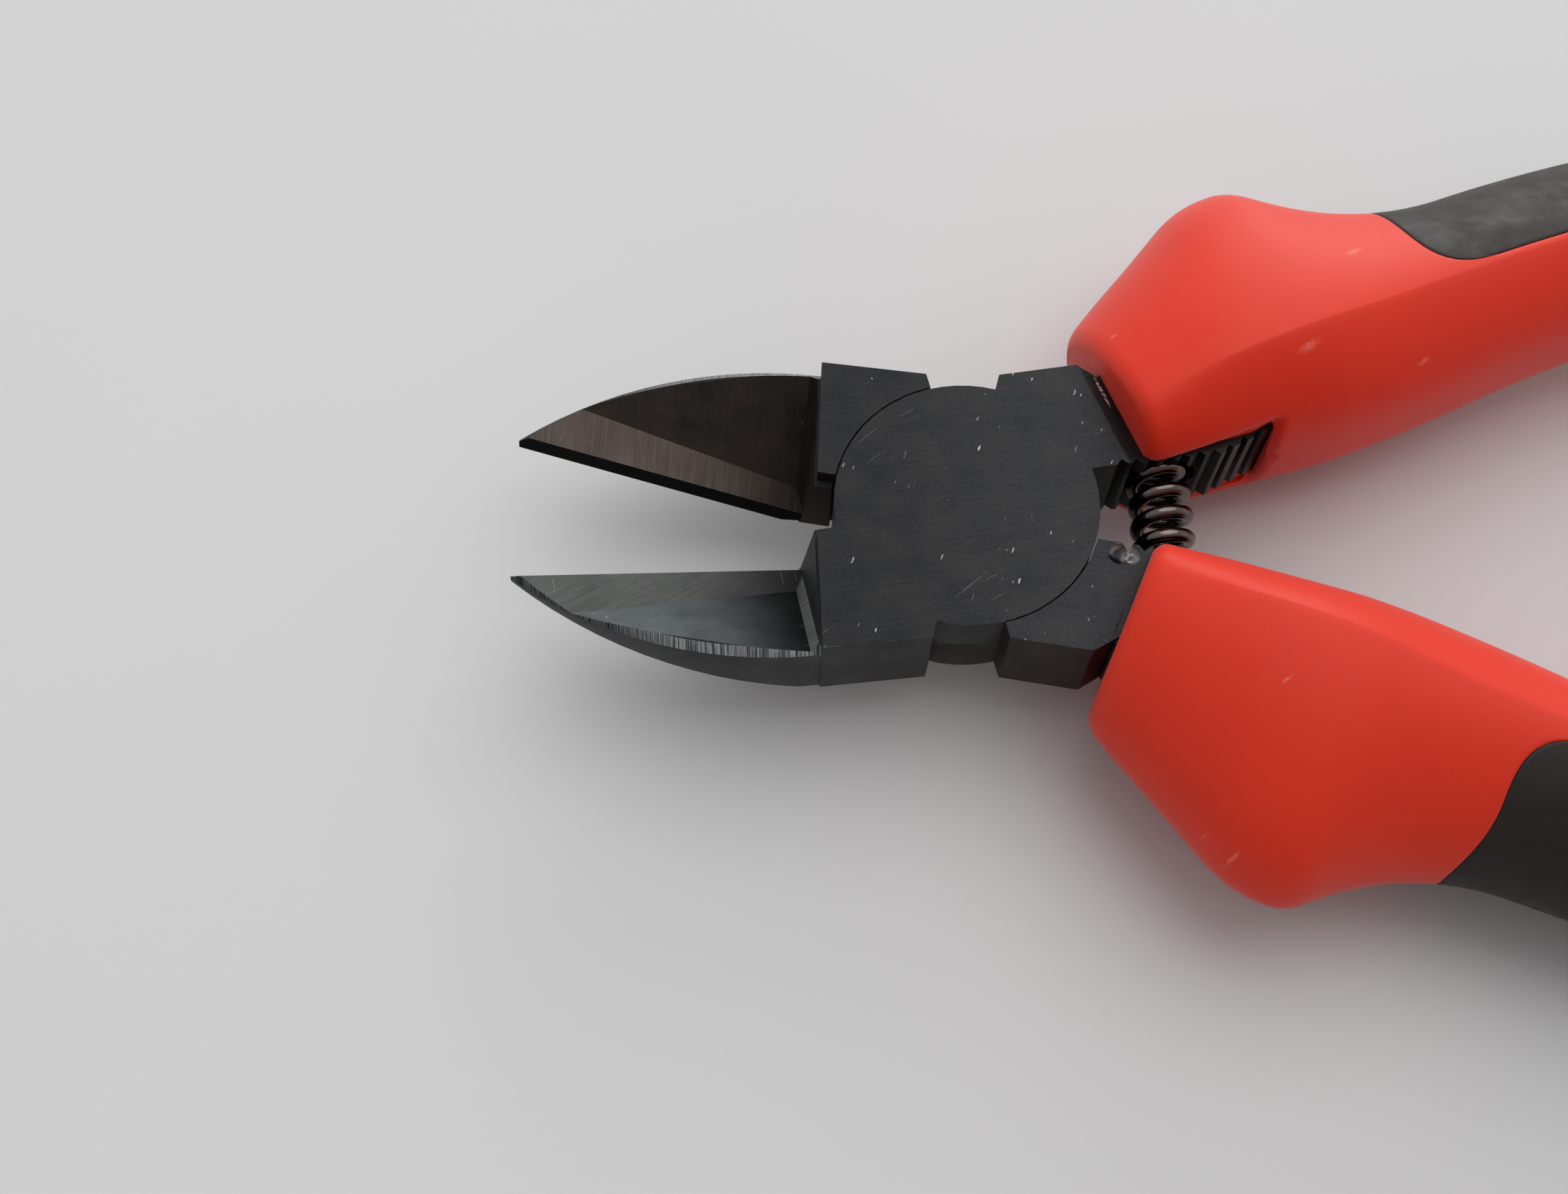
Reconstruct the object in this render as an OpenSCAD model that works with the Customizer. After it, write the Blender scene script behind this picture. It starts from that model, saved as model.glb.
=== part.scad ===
// Diagonal cutting pliers for plastic: two crossed steel levers in a lap joint, a rivet,
// a coil return spring between the tangs, and a two-component sleeve on each tang.
// Pivot axis on Z, handles towards +X, back face of the head on Z = 0, jaws sprung open.

/* [Head] */
// Diameter of the round lap joint
joint_d = 20; // [18:0.5:23]
// Thickness of the head
head_t = 8; // [7:0.5:10]
// Half the width across the blocks at the notches, with the jaws closed
head_half_w = 10.4; // [9.8:0.2:12]
// Distance from the pivot to the shoulder of each jaw
shoulder_x = 11.4; // [11:0.2:13]
// Half the width across the blocks at the shoulders
shoulder_half_w = 10.05; // [9.8:0.05:11.4]
// Lean of the shoulder, in degrees
shoulder_lean = 7; // [0:1:12]
// Slope of the wall from the shoulder down into the jaw, in degrees
shoulder_slope = 8; // [4:1:20]
// Half angle of the notches between the blocks with the jaws closed, in degrees
notch_half = 23.5; // [20:0.5:28]
// Half the gap between the two heels with the jaws closed
heel_gap = 0.6; // [0.3:0.1:1.2]
// Angle between the cutting edges when the spring holds the jaws open, in degrees
open_angle = 18.2; // [14:0.2:22]

/* [Jaws] */
// Distance from the pivot to the jaw tips
jaw_reach = 34.6; // [30:0.2:38]
// Greatest half width of the closed jaws
jaw_half_w = 9.9; // [8.5:0.1:10.2]
// Radius of the outer side of a jaw, seen from the front
jaw_arc_r = 33; // [28:0.5:40]
// Distance from the pivot to where the flush back face leaves the head's back face
flush_x = 14.2; // [12.2:0.1:16]
// Rise of the flush back face towards the tip, in degrees
flush_angle = 15.4; // [11:0.2:16]
// Height of the steep land behind the cutting edge
land_h = 1.1; // [0.6:0.1:1.6]
// Width of the land in plan
land_w = 0.45; // [0.2:0.05:0.8]
// Slope of the ground bevel, in degrees
bevel_angle = 8; // [2:1:20]
// Width of the ground bevel beside the heel
bevel_w = 2; // [1:0.1:3]
// Slope of the hollow face from the bevel up to the rim, in degrees
hollow_angle = 35; // [25:1:45]
// Rise of the hollow's floor towards the tip, in degrees
hollow_rise = 12.8; // [9:0.2:14]
// Width of the narrow slope along the foot of the shoulder's wall
foot_strip = 0.7; // [0.3:0.05:1.2]
// Drop from the head's front face to the rim of the jaws
rim_drop = 1.3; // [1:0.05:2.5]
// Ground chamfer along the rim
rim_chamfer = 0.6; // [0.2:0.1:1]
// Gap kept between each cutting edge and the middle plane
edge_gap = 0.03; // [0.01:0.01:0.1]

/* [Pivot rivet] */
// Diameter of the rivet's shank
rivet_d = 6; // [5:0.5:8]
// Diameter of the rivet's countersunk heads
rivet_head_d = 8.4; // [8.2:0.2:10]
// Running clearance of the front lever on the shank, on the radius
rivet_clear = 0.03; // [0.01:0.01:0.1]
// Radial clearance of the round lap joint
lap_clear = 0.12; // [0.05:0.01:0.3]
// Clearance between the two lapped faces
face_clear = 0.04; // [0.02:0.01:0.1]

/* [Tangs] */
// Distance from the closed middle plane to the inner face of each tang
tang_in = 1.4; // [1.2:0.1:2]
// Distance from the pivot to the rear of the head at the inner face
rear_x = 14.2; // [13.8:0.2:16]
// Lean of the head's rear edge, in degrees
rear_lean = 13.6; // [8:0.2:18]
// Chamfer of the head's outer rear corner
rear_chamfer = 1.4; // [0.5:0.1:2]
// Width of the ramp along the rear edge of the head's front face
rear_ramp = 1.3; // [0.6:0.1:1.6]
// Diameter of the staking dimple on the back lever
dimple_d = 1.8; // [1.2:0.1:2]
// Depth of the dimple
dimple_depth = 0.45; // [0.2:0.05:0.6]
// Width of the tang where it enters the sleeve
tang_w = 8; // [7.6:0.2:8.4]
// Thickness of the tang inside the sleeve
tang_t = 7.2; // [6.6:0.2:7.6]
// Width of the tang at its end
tang_tip_w = 5.6; // [4:0.2:7]
// Distance from the pivot to the bend of the tang
tang_bend_x = 20.2; // [19:0.2:22]
// Distance from the pivot to where the tang reaches the middle of the grip
tang_mid_x = 50; // [46:1:56]
// Distance from the pivot to the end of the tang
tang_end_x = 92; // [80:1:100]
// Pitch of the grooves across the tang's inner face
groove_pitch = 1.22; // [1:0.02:1.6]
// Depth of those grooves
groove_depth = 0.45; // [0.2:0.05:0.6]
// Number of grooves
groove_count = 10; // [4:1:10]

/* [Return spring] */
// Wire diameter
wire_d = 1.15; // [0.9:0.05:1.2]
// Outer diameter of the coils
coil_od = 5; // [4.6:0.1:5.2]
// Distance from the pivot to the spring pockets
spring_x = 15.9; // [15.6:0.1:17]
// Number of coils
coil_count = 7; // [5:0.5:7.5]
// Depth of each pocket
pocket_depth = 5; // [4.6:0.1:5.6]
// Radial clearance of the coils in their pockets
pocket_clear = 0.3; // [0.2:0.05:0.5]
// Gap between a wire end and its pocket's floor
seat_gap = 0.05; // [0.02:0.01:0.2]

/* [Grip stations] */
// Distance from the pivot to the front of the sleeve, at its middle
front_x = 13.2; // [12.8:0.2:15]
// Distance from the pivot to the crest of the finger guard
guard_x = 24.8; // [24:0.1:27]
// Distance from the pivot to the waist behind the guard
waist_x = 30.4; // [29:0.2:34]
// Distance from the pivot to the palm swell
swell_x = 57; // [54:1:70]
// Distance from the pivot to the tail of the grip
tail_x = 112; // [104:1:118]
// Distance from the pivot to the end of the grip
end_x = 129; // [122:1:140]

/* [Grip outer side] */
// Outer side at the front, from the closed middle plane
front_out = 14.4; // [13:0.2:16]
// Outer side at the guard
guard_out = 25.6; // [23:0.2:27]
// Outer side at the waist
waist_out = 19.3; // [18:0.1:22]
// Outer side at the swell
swell_out = 27; // [24:0.5:28]
// Outer side at the tail
tail_out = 23; // [21:0.5:25]
// Outer side at the end
end_out = 21; // [18:0.5:23]

/* [Grip inner side] */
// Inner side at the front, from the closed middle plane
front_in = 0.8; // [0.6:0.1:1.4]
// Inner side at the guard
guard_in = 2.1; // [1:0.1:2.4]
// Inner side at the waist
waist_in = 1.2; // [1:0.1:2.4]
// Inner side at the swell
swell_in = 11.7; // [10:0.1:13]
// Inner side at the tail
tail_in = 9.6; // [8:0.2:12]
// Inner side at the end
end_in = 7.6; // [6:0.2:10]

/* [Grip ridge] */
// Place of the ridge along the top at the front, from the closed middle plane
front_ridge = 4.6; // [4:0.1:6]
// Ridge at the guard
guard_ridge = 7.4; // [6:0.1:9]
// Ridge at the waist
waist_ridge = 8.6; // [7:0.1:10]
// Ridge at the swell
swell_ridge = 16.2; // [14:0.1:19]
// Ridge at the tail
tail_ridge = 16.3; // [14:0.1:18]
// Ridge at the end
end_ridge = 14.3; // [12:0.1:16]

/* [Grip thickness] */
// Half thickness at the front
front_half = 7.7; // [7.4:0.1:9]
// Half thickness at the guard
guard_half = 10.8; // [9:0.2:12.4]
// Half thickness at the waist
waist_half = 9.4; // [8.6:0.1:11]
// Half thickness at the swell
swell_half = 8.2; // [7.8:0.1:9.4]
// Half thickness at the tail and the end
tail_half = 8; // [7:0.1:9]
// Radius of the sleeve's front lip
lip_r = 1.9; // [0.6:0.1:2.2]
// Length of the rounded end
dome_len = 9; // [6:0.5:12]

/* [Soft insert] */
// Distance from the pivot to the nose of the insert
nose_x = 37.4; // [36:0.1:42]
// How much further back the nose lies on one face of the grip than on the other
nose_skew = 2; // [0:0.1:3]
// Length over which the nose's corners are rounded
nose_corner = 6.2; // [3:0.1:8]
// Distance from the pivot to the rear of the insert
insert_end_x = 119; // [112:1:119]
// Thickness of the insert
insert_t = 1.8; // [1:0.1:2.4]
// Clearance between an insert and its recess, and between a sleeve and its tang
fit_gap = 0.06; // [0.03:0.01:0.15]
// Distance from the pivot to the rear of the window that shows the grooves
window_x = 24.5; // [24:0.1:26]
// Extra half height of the window at its rear
window_flare = 1.4; // [0:0.1:2]

/* [Hidden] */
$fn = 96;
joint_r = joint_d / 2;
mid_z = head_t / 2;
open_half = open_angle / 2;
rim_z = head_t - rim_drop;
rivet_head_h = (rivet_head_d - rivet_d) / 2;
// Length that is more than enough to cut right through
past = 60;

// Turns a lever from the closed jaws to the sprung-open pose
module front_side() { rotate([0, 0, open_half]) children(); }
module back_side() { rotate([0, 0, -open_half]) mirror([0, 1, 0]) children(); }
// Turns the same moulding over for the other lever
module turned_over() { rotate([0, 0, -open_half]) translate([0, 0, head_t]) rotate([180, 0, 0]) children(); }

// Levers: the front one is drawn closed, its jaw at -X -Y and its tang at +X +Y

// X of the head's rear edge at a height y
function rear_at(y) = rear_x - (y - tang_in) * tan(rear_lean);

module jaw_block_plan() {
    polygon([[0, 0],
             [-head_half_w * tan(notch_half), -head_half_w],
             [-shoulder_x - shoulder_half_w * tan(shoulder_lean), -shoulder_half_w],
             [-shoulder_x - heel_gap * tan(shoulder_lean), -heel_gap],
             [-joint_r / 2, -heel_gap]]);
}

module tang_block_plan() {
    polygon([[0, 0],
             [joint_r / 2, tang_in],
             [rear_x, tang_in],
             [rear_at(head_half_w - rear_chamfer), head_half_w - rear_chamfer],
             [rear_at(head_half_w) - rear_chamfer, head_half_w],
             [head_half_w * tan(notch_half), head_half_w]]);
}

module jaw_plan() {
    intersection() {
        translate([-shoulder_x, jaw_arc_r - jaw_half_w]) circle(jaw_arc_r);
        translate([-jaw_reach, -jaw_half_w - 1])
            square([jaw_reach - joint_r - 2 * lap_clear, jaw_half_w + 1 - edge_gap]);
    }
}

// Lays a section drawn as (distance from the edge, height above the flush face) along a jaw
module along_jaw(rise) {
    translate([-flush_x, 0, 0]) rotate([0, rise, 0]) rotate([90, 0, -90])
        translate([0, 0, -past / 4]) linear_extrude(past) children();
}

// Space above the land and the ground bevel
module bevel_space() {
    along_jaw(flush_angle)
        polygon([[-land_w, -land_h], [land_w, land_h],
                 [past, land_h + (past - land_w) * tan(bevel_angle)],
                 [past, past], [-land_w, past]]);
}

// Where the hollow face starts beside the heel: distance from the edge and height above the flush face
hollow_d = land_w + bevel_w;
hollow_h = land_h + bevel_w * tan(bevel_angle);

// Space above the hollow face
module hollow_space() {
    along_jaw(hollow_rise)
        polygon([[hollow_d - past, hollow_h - past * tan(hollow_angle)],
                 [hollow_d + past, hollow_h + past * tan(hollow_angle)],
                 [hollow_d - past, hollow_h + past * tan(hollow_angle)]]);
}

// Space in front of the shoulder's sloping wall
module shoulder_space() {
    translate([-shoulder_x, 0, head_t]) rotate([0, 0, -shoulder_lean]) rotate([90, 0, 0])
        linear_extrude(past, center = true)
            polygon([[tan(shoulder_slope), 1], [-past * tan(shoulder_slope), -past],
                     [-past, -past], [-past, 1]]);
}

// Height of the hollow face, place of the shoulder's wall, and the point where they meet, d from the edge
function hollow_z(x, d) =
    (hollow_h + (d - hollow_d) * tan(hollow_angle)) / cos(hollow_rise) - (flush_x + x) * tan(hollow_rise);
function wall_x(z, d) = -shoulder_x - d * tan(shoulder_lean) - (head_t - z) * tan(shoulder_slope);
function foot(d) =
    let (x = wall_x(hollow_z(-shoulder_x, d), d), z = hollow_z(x, d))
    [wall_x(z, d), -d, z];

// Everything on one side of a plane through a point
module half_space(point, normal) {
    translate(point) rotate([0, acos(normal[2] / norm(normal)), atan2(normal[1], normal[0])])
        translate([-past, -past, 0]) cube([2 * past, 2 * past, past]);
}

// Space above the narrow 45 degree slope along the wall's foot
module foot_space() {
    along_foot = foot(jaw_half_w) - foot(hollow_d);
    half_space(foot(hollow_d) - [foot_strip, 0, 0], cross(along_foot, [1, 0, 1]));
}

// Everything behind the flush back face
module flush_space() {
    translate([-flush_x, 0, 0]) rotate([0, flush_angle, 0])
        translate([-past, -past / 2, -past / 2]) cube([past, past, past / 2]);
}

// Ground chamfer that follows the rim
module rim_space() {
    translate([-shoulder_x, jaw_arc_r - jaw_half_w, rim_z - rim_chamfer])
        rotate_extrude()
            polygon([[jaw_arc_r, 0], [jaw_arc_r + 1, 0], [jaw_arc_r + 1, rim_chamfer + 1],
                     [jaw_arc_r - rim_chamfer - 1, rim_chamfer + 1]]);
}

module jaw() {
    difference() {
        linear_extrude(rim_z) jaw_plan();
        intersection() {
            bevel_space();
            hollow_space();
            shoulder_space();
            foot_space();
        }
        flush_space();
        rim_space();
    }
}

tang_mid_w = (tang_w + tang_tip_w) / 2;
// Height at x of the tang's inner face, which bends away behind the spring
function tang_edge(x) =
    lookup(x, [[tang_bend_x, tang_in], [tang_mid_x, grip_mid(tang_mid_x) - tang_mid_w / 2]]);

// Tang inside the sleeve, grown by a gap for the sleeve's socket
module tang_plan(gap = 0) {
    bend_y = tang_in + tang_w / 2;
    mid_y = grip_mid(tang_mid_x);
    end_y = grip_mid(tang_end_x);
    polygon([[joint_r + lap_clear + tang_w / 4, bend_y - tang_w / 2 - gap],
             [tang_bend_x, bend_y - tang_w / 2 - gap],
             [tang_mid_x, mid_y - tang_mid_w / 2 - gap],
             [tang_end_x + gap, end_y - tang_tip_w / 2 - gap],
             [tang_end_x + gap, end_y + tang_tip_w / 2 + gap],
             [tang_mid_x, mid_y + tang_mid_w / 2 + gap],
             [tang_bend_x, bend_y + tang_w / 2 + gap],
             [joint_r + lap_clear + tang_w / 4, bend_y + tang_w / 2 + gap]]);
}

module tang_bar(gap = 0) {
    translate([0, 0, mid_z - tang_t / 2 - gap]) linear_extrude(tang_t + 2 * gap) tang_plan(gap);
}

module spring_pocket() {
    translate([spring_x, tang_in - 1, mid_z]) rotate([-90, 0, 0])
        cylinder(r = coil_od / 2 + pocket_clear, h = pocket_depth + 1);
}

// Grooves across the inner face of the tang, around and behind the spring
module grooves() {
    last_x = window_x - groove_pitch;
    for (i = [0 : groove_count - 1])
        translate([last_x - i * groove_pitch, tang_edge(last_x - i * groove_pitch), 0]) rotate([0, 0, 45])
            translate([-groove_depth * sqrt(0.5), -groove_depth * sqrt(0.5), -1])
                cube([groove_depth * sqrt(2), groove_depth * sqrt(2), head_t + 2]);
}

// Ramp that eases one face of the head down to the sleeve: side 1 is the front face, -1 the back
module rear_ramp_space(side) {
    translate([rear_x, tang_in, mid_z]) rotate([0, 0, rear_lean]) rotate([90, 0, 0])
        linear_extrude(past, center = true)
            polygon([[-rear_ramp, side * mid_z], [0, side * tang_t / 2],
                     [0, side * head_t], [-rear_ramp, side * head_t]]);
}

// Oval dimple left by staking, at the inner edge of the back lever's front face
module dimple() {
    ball_r = (dimple_d * dimple_d / 4 + dimple_depth * dimple_depth) / 2 / dimple_depth;
    for (side = [-1, 1])
        translate([(joint_r + rear_x) / 2 + side * dimple_d / 5, tang_in + dimple_d / 2,
                   head_t + ball_r - dimple_depth])
            sphere(ball_r);
}

// One lever: its half of the lap joint is the disc from disc_z up, disc_h thick
module lever(disc_z, disc_h, other_z, other_h, ramp_side) {
    difference() {
        union() {
            difference() {
                linear_extrude(head_t) union() {
                    jaw_block_plan();
                    tang_block_plan();
                }
                translate([0, 0, other_z]) cylinder(r = joint_r + lap_clear, h = other_h);
                shoulder_space();
                rear_ramp_space(ramp_side);
            }
            translate([0, 0, disc_z]) cylinder(r = joint_r, h = disc_h);
            jaw();
            tang_bar();
        }
        spring_pocket();
        grooves();
    }
}

module front_lever() {
    disc_z = mid_z + face_clear / 2;
    color("#4a4b4d") front_side() difference() {
        lever(disc_z, head_t - disc_z, -1, disc_z + 1, 1);
        translate([0, 0, -1]) cylinder(d = rivet_d + 2 * rivet_clear, h = head_t + 2);
        translate([0, 0, head_t - rivet_head_h])
            cylinder(d1 = rivet_d + 2 * rivet_clear, d2 = rivet_head_d + 2 * rivet_clear, h = rivet_head_h);
    }
}

module back_lever() {
    disc_h = mid_z - face_clear / 2;
    color("#434446") back_side() difference() {
        lever(0, disc_h, disc_h, head_t, -1);
        translate([0, 0, -1]) cylinder(d = rivet_d, h = head_t + 2);
        cylinder(d1 = rivet_head_d, d2 = rivet_d, h = rivet_head_h);
        dimple();
    }
}

module pivot_rivet() {
    color("#505153") rotate_extrude()
        polygon([[0, 0], [rivet_head_d / 2, 0], [rivet_d / 2, rivet_head_h],
                 [rivet_d / 2, head_t - rivet_head_h], [rivet_head_d / 2, head_t], [0, head_t]]);
}

// Return spring: a helix on an arc that meets both pocket floors squarely

wire_side_count = 6;
coil_ring_count = 8;
coil_r = (coil_od - wire_d) / 2;
floor_y = tang_in + pocket_depth;
// Rest place of the front pocket's floor, and the arc through both floors
floor_rest_x = spring_x * cos(open_half) - floor_y * sin(open_half);
floor_rest_y = spring_x * sin(open_half) + floor_y * cos(open_half);
arc_r = floor_rest_y / sin(open_half);
arc_x = floor_rest_x - arc_r * cos(open_half);
arc_len = 2 * arc_r * open_half * PI / 180;
bend_r = 0.8 * wire_d;
bend_ring_count = 4;
// Where round the coil the lower wire end stands, in degrees
start_angle = 0;
leg_s = seat_gap + wire_d;
helix_s = leg_s + bend_r;
helix_len = arc_len - 2 * helix_s;
pitch = helix_len / coil_count;

// Point on the wire's centre line: s along the arc, a turn angle and a radius from the axis
function on_arc(s, turn, r) =
    let (a = (s - arc_len / 2) / arc_r * 180 / PI, t = turn + start_angle, rr = arc_r + r * cos(t))
    [arc_x + rr * cos(a), rr * sin(a), mid_z - r * sin(t)];

// Turn angle that a length along the coil's circle takes
function turn_of(len) = len / coil_r * 180 / PI;

wire_path = concat(
    [on_arc(seat_gap, 0, coil_r)],
    [for (i = [0 : bend_ring_count]) let (b = 90 * i / bend_ring_count)
        on_arc(leg_s + bend_r * sin(b), turn_of(bend_r * (1 - cos(b))), coil_r)],
    [for (i = [1 : coil_count * coil_ring_count - 1]) let (k = i / coil_ring_count)
        on_arc(helix_s + pitch * k, turn_of(bend_r) + 360 * k, coil_r)],
    [for (i = [0 : bend_ring_count]) let (b = 90 - 90 * i / bend_ring_count)
        on_arc(arc_len - leg_s - bend_r * sin(b),
               360 * coil_count + turn_of(bend_r) * 2 - turn_of(bend_r * (1 - cos(b))), coil_r)],
    [on_arc(arc_len - seat_gap, 360 * coil_count + turn_of(bend_r) * 2, coil_r)]);

function unit(v) = v / norm(v);
function wire_tangent(i) =
    let (n = len(wire_path))
    i == 0 ? unit(wire_path[1] - wire_path[0]) :
    i == n - 1 ? unit(wire_path[n - 1] - wire_path[n - 2]) :
    unit(unit(wire_path[i + 1] - wire_path[i]) + unit(wire_path[i] - wire_path[i - 1]));
// Direction from the coil's axis to a point of the wire, square to the wire
function wire_normal(i) =
    let (p = wire_path[i],
         a = atan2(p[1], p[0] - arc_x),
         axis = [arc_x + arc_r * cos(a), arc_r * sin(a), mid_z],
         t = wire_tangent(i),
         q = p - axis)
    unit(q - (q * t) * t);
function wire_ring(i) =
    let (t = wire_tangent(i), u = wire_normal(i), v = cross(t, u))
    [for (k = [0 : wire_side_count - 1])
        let (c = 360 * k / wire_side_count) wire_path[i] + wire_d / 2 * (cos(c) * u + sin(c) * v)];

// Least gap of the wire to itself, on points of its centre line more than half a coil apart along it
wire_at = [for (i = 0, s = 0; i < len(wire_path);
                s = s + (i + 1 < len(wire_path) ? norm(wire_path[i + 1] - wire_path[i]) : 0), i = i + 1) s];
wire_gap = min([for (i = [0 : len(wire_path) - 1]) for (j = [i : len(wire_path) - 1])
    if (wire_at[j] - wire_at[i] > PI * coil_r) norm(wire_path[i] - wire_path[j])]) - wire_d;
echo(str("least gap between the spring's coils, mm: ", wire_gap));

module return_spring() {
    n = len(wire_path);
    points = [for (i = [0 : n - 1]) each wire_ring(i)];
    sides = [for (i = [0 : n - 2]) for (k = [0 : wire_side_count - 1])
        let (a = i * wire_side_count + k, b = i * wire_side_count + (k + 1) % wire_side_count)
        each [[a, b + wire_side_count, b], [a, a + wire_side_count, b + wire_side_count]]];
    last = (n - 1) * wire_side_count;
    ends = [for (k = [1 : wire_side_count - 2]) each [[0, k, k + 1], [last, last + k + 1, last + k]]];
    color("#5a5250") polyhedron(points, concat(sides, ends));
}

// Grips: lofted sections whose four side lines are straight runs with softened corners

function total(v, i = 0) = i < len(v) ? v[i] + total(v, i + 1) : 0;
// Height at x of a line through knots [x, y, half length of the softened corner]
function soft_line(k, x) =
    lookup(x, [for (p = k) [p[0], p[1]]])
    + total([for (j = [1 : len(k) - 2])
        let (before = (k[j][1] - k[j - 1][1]) / (k[j][0] - k[j - 1][0]),
             after = (k[j + 1][1] - k[j][1]) / (k[j + 1][0] - k[j][0]),
             reach = max(0, k[j][2] - abs(x - k[j][0])))
        (after - before) / (4 * k[j][2]) * reach * reach]);

// Half lengths over which the lines turn at each station: keen at the sides' guard, softer on top
guard_turn = 2;
top_guard_turn = 6;
waist_turn = 13;
ridge_waist_turn = 6;
swell_turn = 22;
tail_turn = 10;
function stations(heights, guard_by, waist_by) =
    [[front_x, heights[0], 0], [guard_x, heights[1], guard_by], [waist_x, heights[2], waist_by],
     [swell_x, heights[3], swell_turn], [tail_x, heights[4], tail_turn], [end_x, heights[5], 0]];
out_line = stations([front_out, guard_out, waist_out, swell_out, tail_out, end_out], guard_turn, waist_turn);
in_line = stations([front_in, guard_in, waist_in, swell_in, tail_in, end_in], guard_turn, waist_turn);
half_line = stations([front_half, guard_half, waist_half, swell_half, tail_half, tail_half],
                     top_guard_turn, waist_turn);
ridge_line = stations([front_ridge, guard_ridge, waist_ridge, swell_ridge, tail_ridge, end_ridge],
                      top_guard_turn, ridge_waist_turn);
function grip_mid(x) = (soft_line(out_line, x) + soft_line(in_line, x)) / 2;

// Share of the full section left by the front lip and by the rounded end
function lip_share(x) =
    let (s = min(x - front_x, lip_r))
    1 - (lip_r - sqrt(lip_r * lip_r - (lip_r - s) * (lip_r - s))) / front_half;
function dome_share(x) =
    let (s = min(1, max(0, x - end_x + dome_len) / dome_len))
    max(0.06, sqrt(1 - s * s));

// Exponents of the section: a keen ridge and a flat flank inside, a full curve outside
flank_p = 1.6;
flank_q = 2;
back_p = 1.7;
back_q = 1.7;
function power(c, e) = sign(c) * pow(abs(c), e);

// Point of the grip's skin at station x and angle v from the outer side, sunk by a depth
function skin(x, v, sink = 0) =
    let (lo = soft_line(in_line, x), hi = soft_line(out_line, x),
         ridge = soft_line(ridge_line, x),
         outside = cos(v) >= 0,
         dy = outside ? (hi - ridge) * power(cos(v), 2 / back_p)
                      : (ridge - lo) * power(cos(v), 2 / flank_p),
         dz = soft_line(half_line, x) * power(sin(v), outside ? 2 / back_q : 2 / flank_q),
         share = lip_share(x) * dome_share(x),
         mid = (lo + hi) / 2,
         y = mid + (ridge + dy - mid) * share,
         z = dz * share,
         in_y = y - sink * (y - mid) / norm([y - mid, z]),
         in_z = z - sink * z / norm([y - mid, z]),
         slant = tan(rear_lean) * max(0, 1 - (x - front_x) / (guard_x - front_x)))
    [x - (in_y - tang_in - tang_w / 2) * slant, in_y, mid_z + in_z];

// Rows of the loft round the section and columns along it
row_angle = 10;
rows = 360 / row_angle;
insert_row_count = 8;
front_count = 18;
insert_count = 20;
end_count = 7;
insert_angle = insert_row_count * row_angle;
// How far the insert's rounded corners draw in its ends, and how far its nose lies back, at an angle
corner_p = 5.5;
skew_angle = 50;
function corner_at(v) = nose_corner * (1 - sqrt(1 - pow(min(1, abs(v) / insert_angle), corner_p)));
function skew_at(v) = nose_skew * (1 - cos(180 * max(0, min(1, -v / skew_angle)))) / 2;
// Stations of the insert's nose and rear at an angle round the section
function nose_at(v) = nose_x + skew_at(v) + corner_at(v);
function tail_at(v) = insert_end_x - corner_at(v);
// Station of a column: the loft's columns bend to run along the insert's two ends
function column_at(i, v) =
    i <= front_count ? front_x + (nose_at(v) - front_x) * pow(i / front_count, 1.15) :
    i <= front_count + insert_count ?
        nose_at(v) + (tail_at(v) - nose_at(v)) * (i - front_count) / insert_count :
        tail_at(v) + (end_x - tail_at(v)) * sin(90 * (i - front_count - insert_count) / end_count);

function quad(a, b, c, d) = [[a, b, c], [a, c, d]];

// Whole sleeve with the recess for the insert
module sleeve_loft() {
    first = front_count;
    last = front_count + insert_count;
    cols = last + end_count;
    edge = insert_row_count;
    skin_n = (cols + 1) * rows;
    wide = 2 * edge + 1;
    points = concat(
        [for (i = [0 : cols]) for (j = [0 : rows - 1])
            let (v = (j - rows / 2) * row_angle) skin(column_at(i, v), v)],
        [for (i = [first : last]) for (j = [-edge : edge])
            let (v = j * row_angle) skin(column_at(i, v), v, insert_t)]);
    function at(i, j) = i * rows + (j + rows / 2 + rows) % rows;
    function sunk(i, j) = skin_n + (i - first) * wide + j + edge;
    function in_insert(i, j) = i >= first && i < last && j >= -edge && j < edge;
    faces = concat(
        [for (i = [0 : cols - 1]) for (j = [-rows / 2 : rows / 2 - 1])
            each in_insert(i, j)
                ? quad(sunk(i, j), sunk(i, j + 1), sunk(i + 1, j + 1), sunk(i + 1, j))
                : quad(at(i, j), at(i, j + 1), at(i + 1, j + 1), at(i + 1, j))],
        [for (j = [-edge : edge - 1])
            each concat(quad(at(first, j), at(first, j + 1), sunk(first, j + 1), sunk(first, j)),
                        quad(at(last, j), sunk(last, j), sunk(last, j + 1), at(last, j + 1)))],
        [for (i = [first : last - 1])
            each concat(quad(at(i, edge), at(i + 1, edge), sunk(i + 1, edge), sunk(i, edge)),
                        quad(at(i, -edge), sunk(i, -edge), sunk(i + 1, -edge), at(i + 1, -edge)))],
        [for (j = [1 : rows - 2]) each [[0, j + 1, j],
            [cols * rows, cols * rows + j, cols * rows + j + 1]]]);
    polyhedron(points, faces);
}

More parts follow.
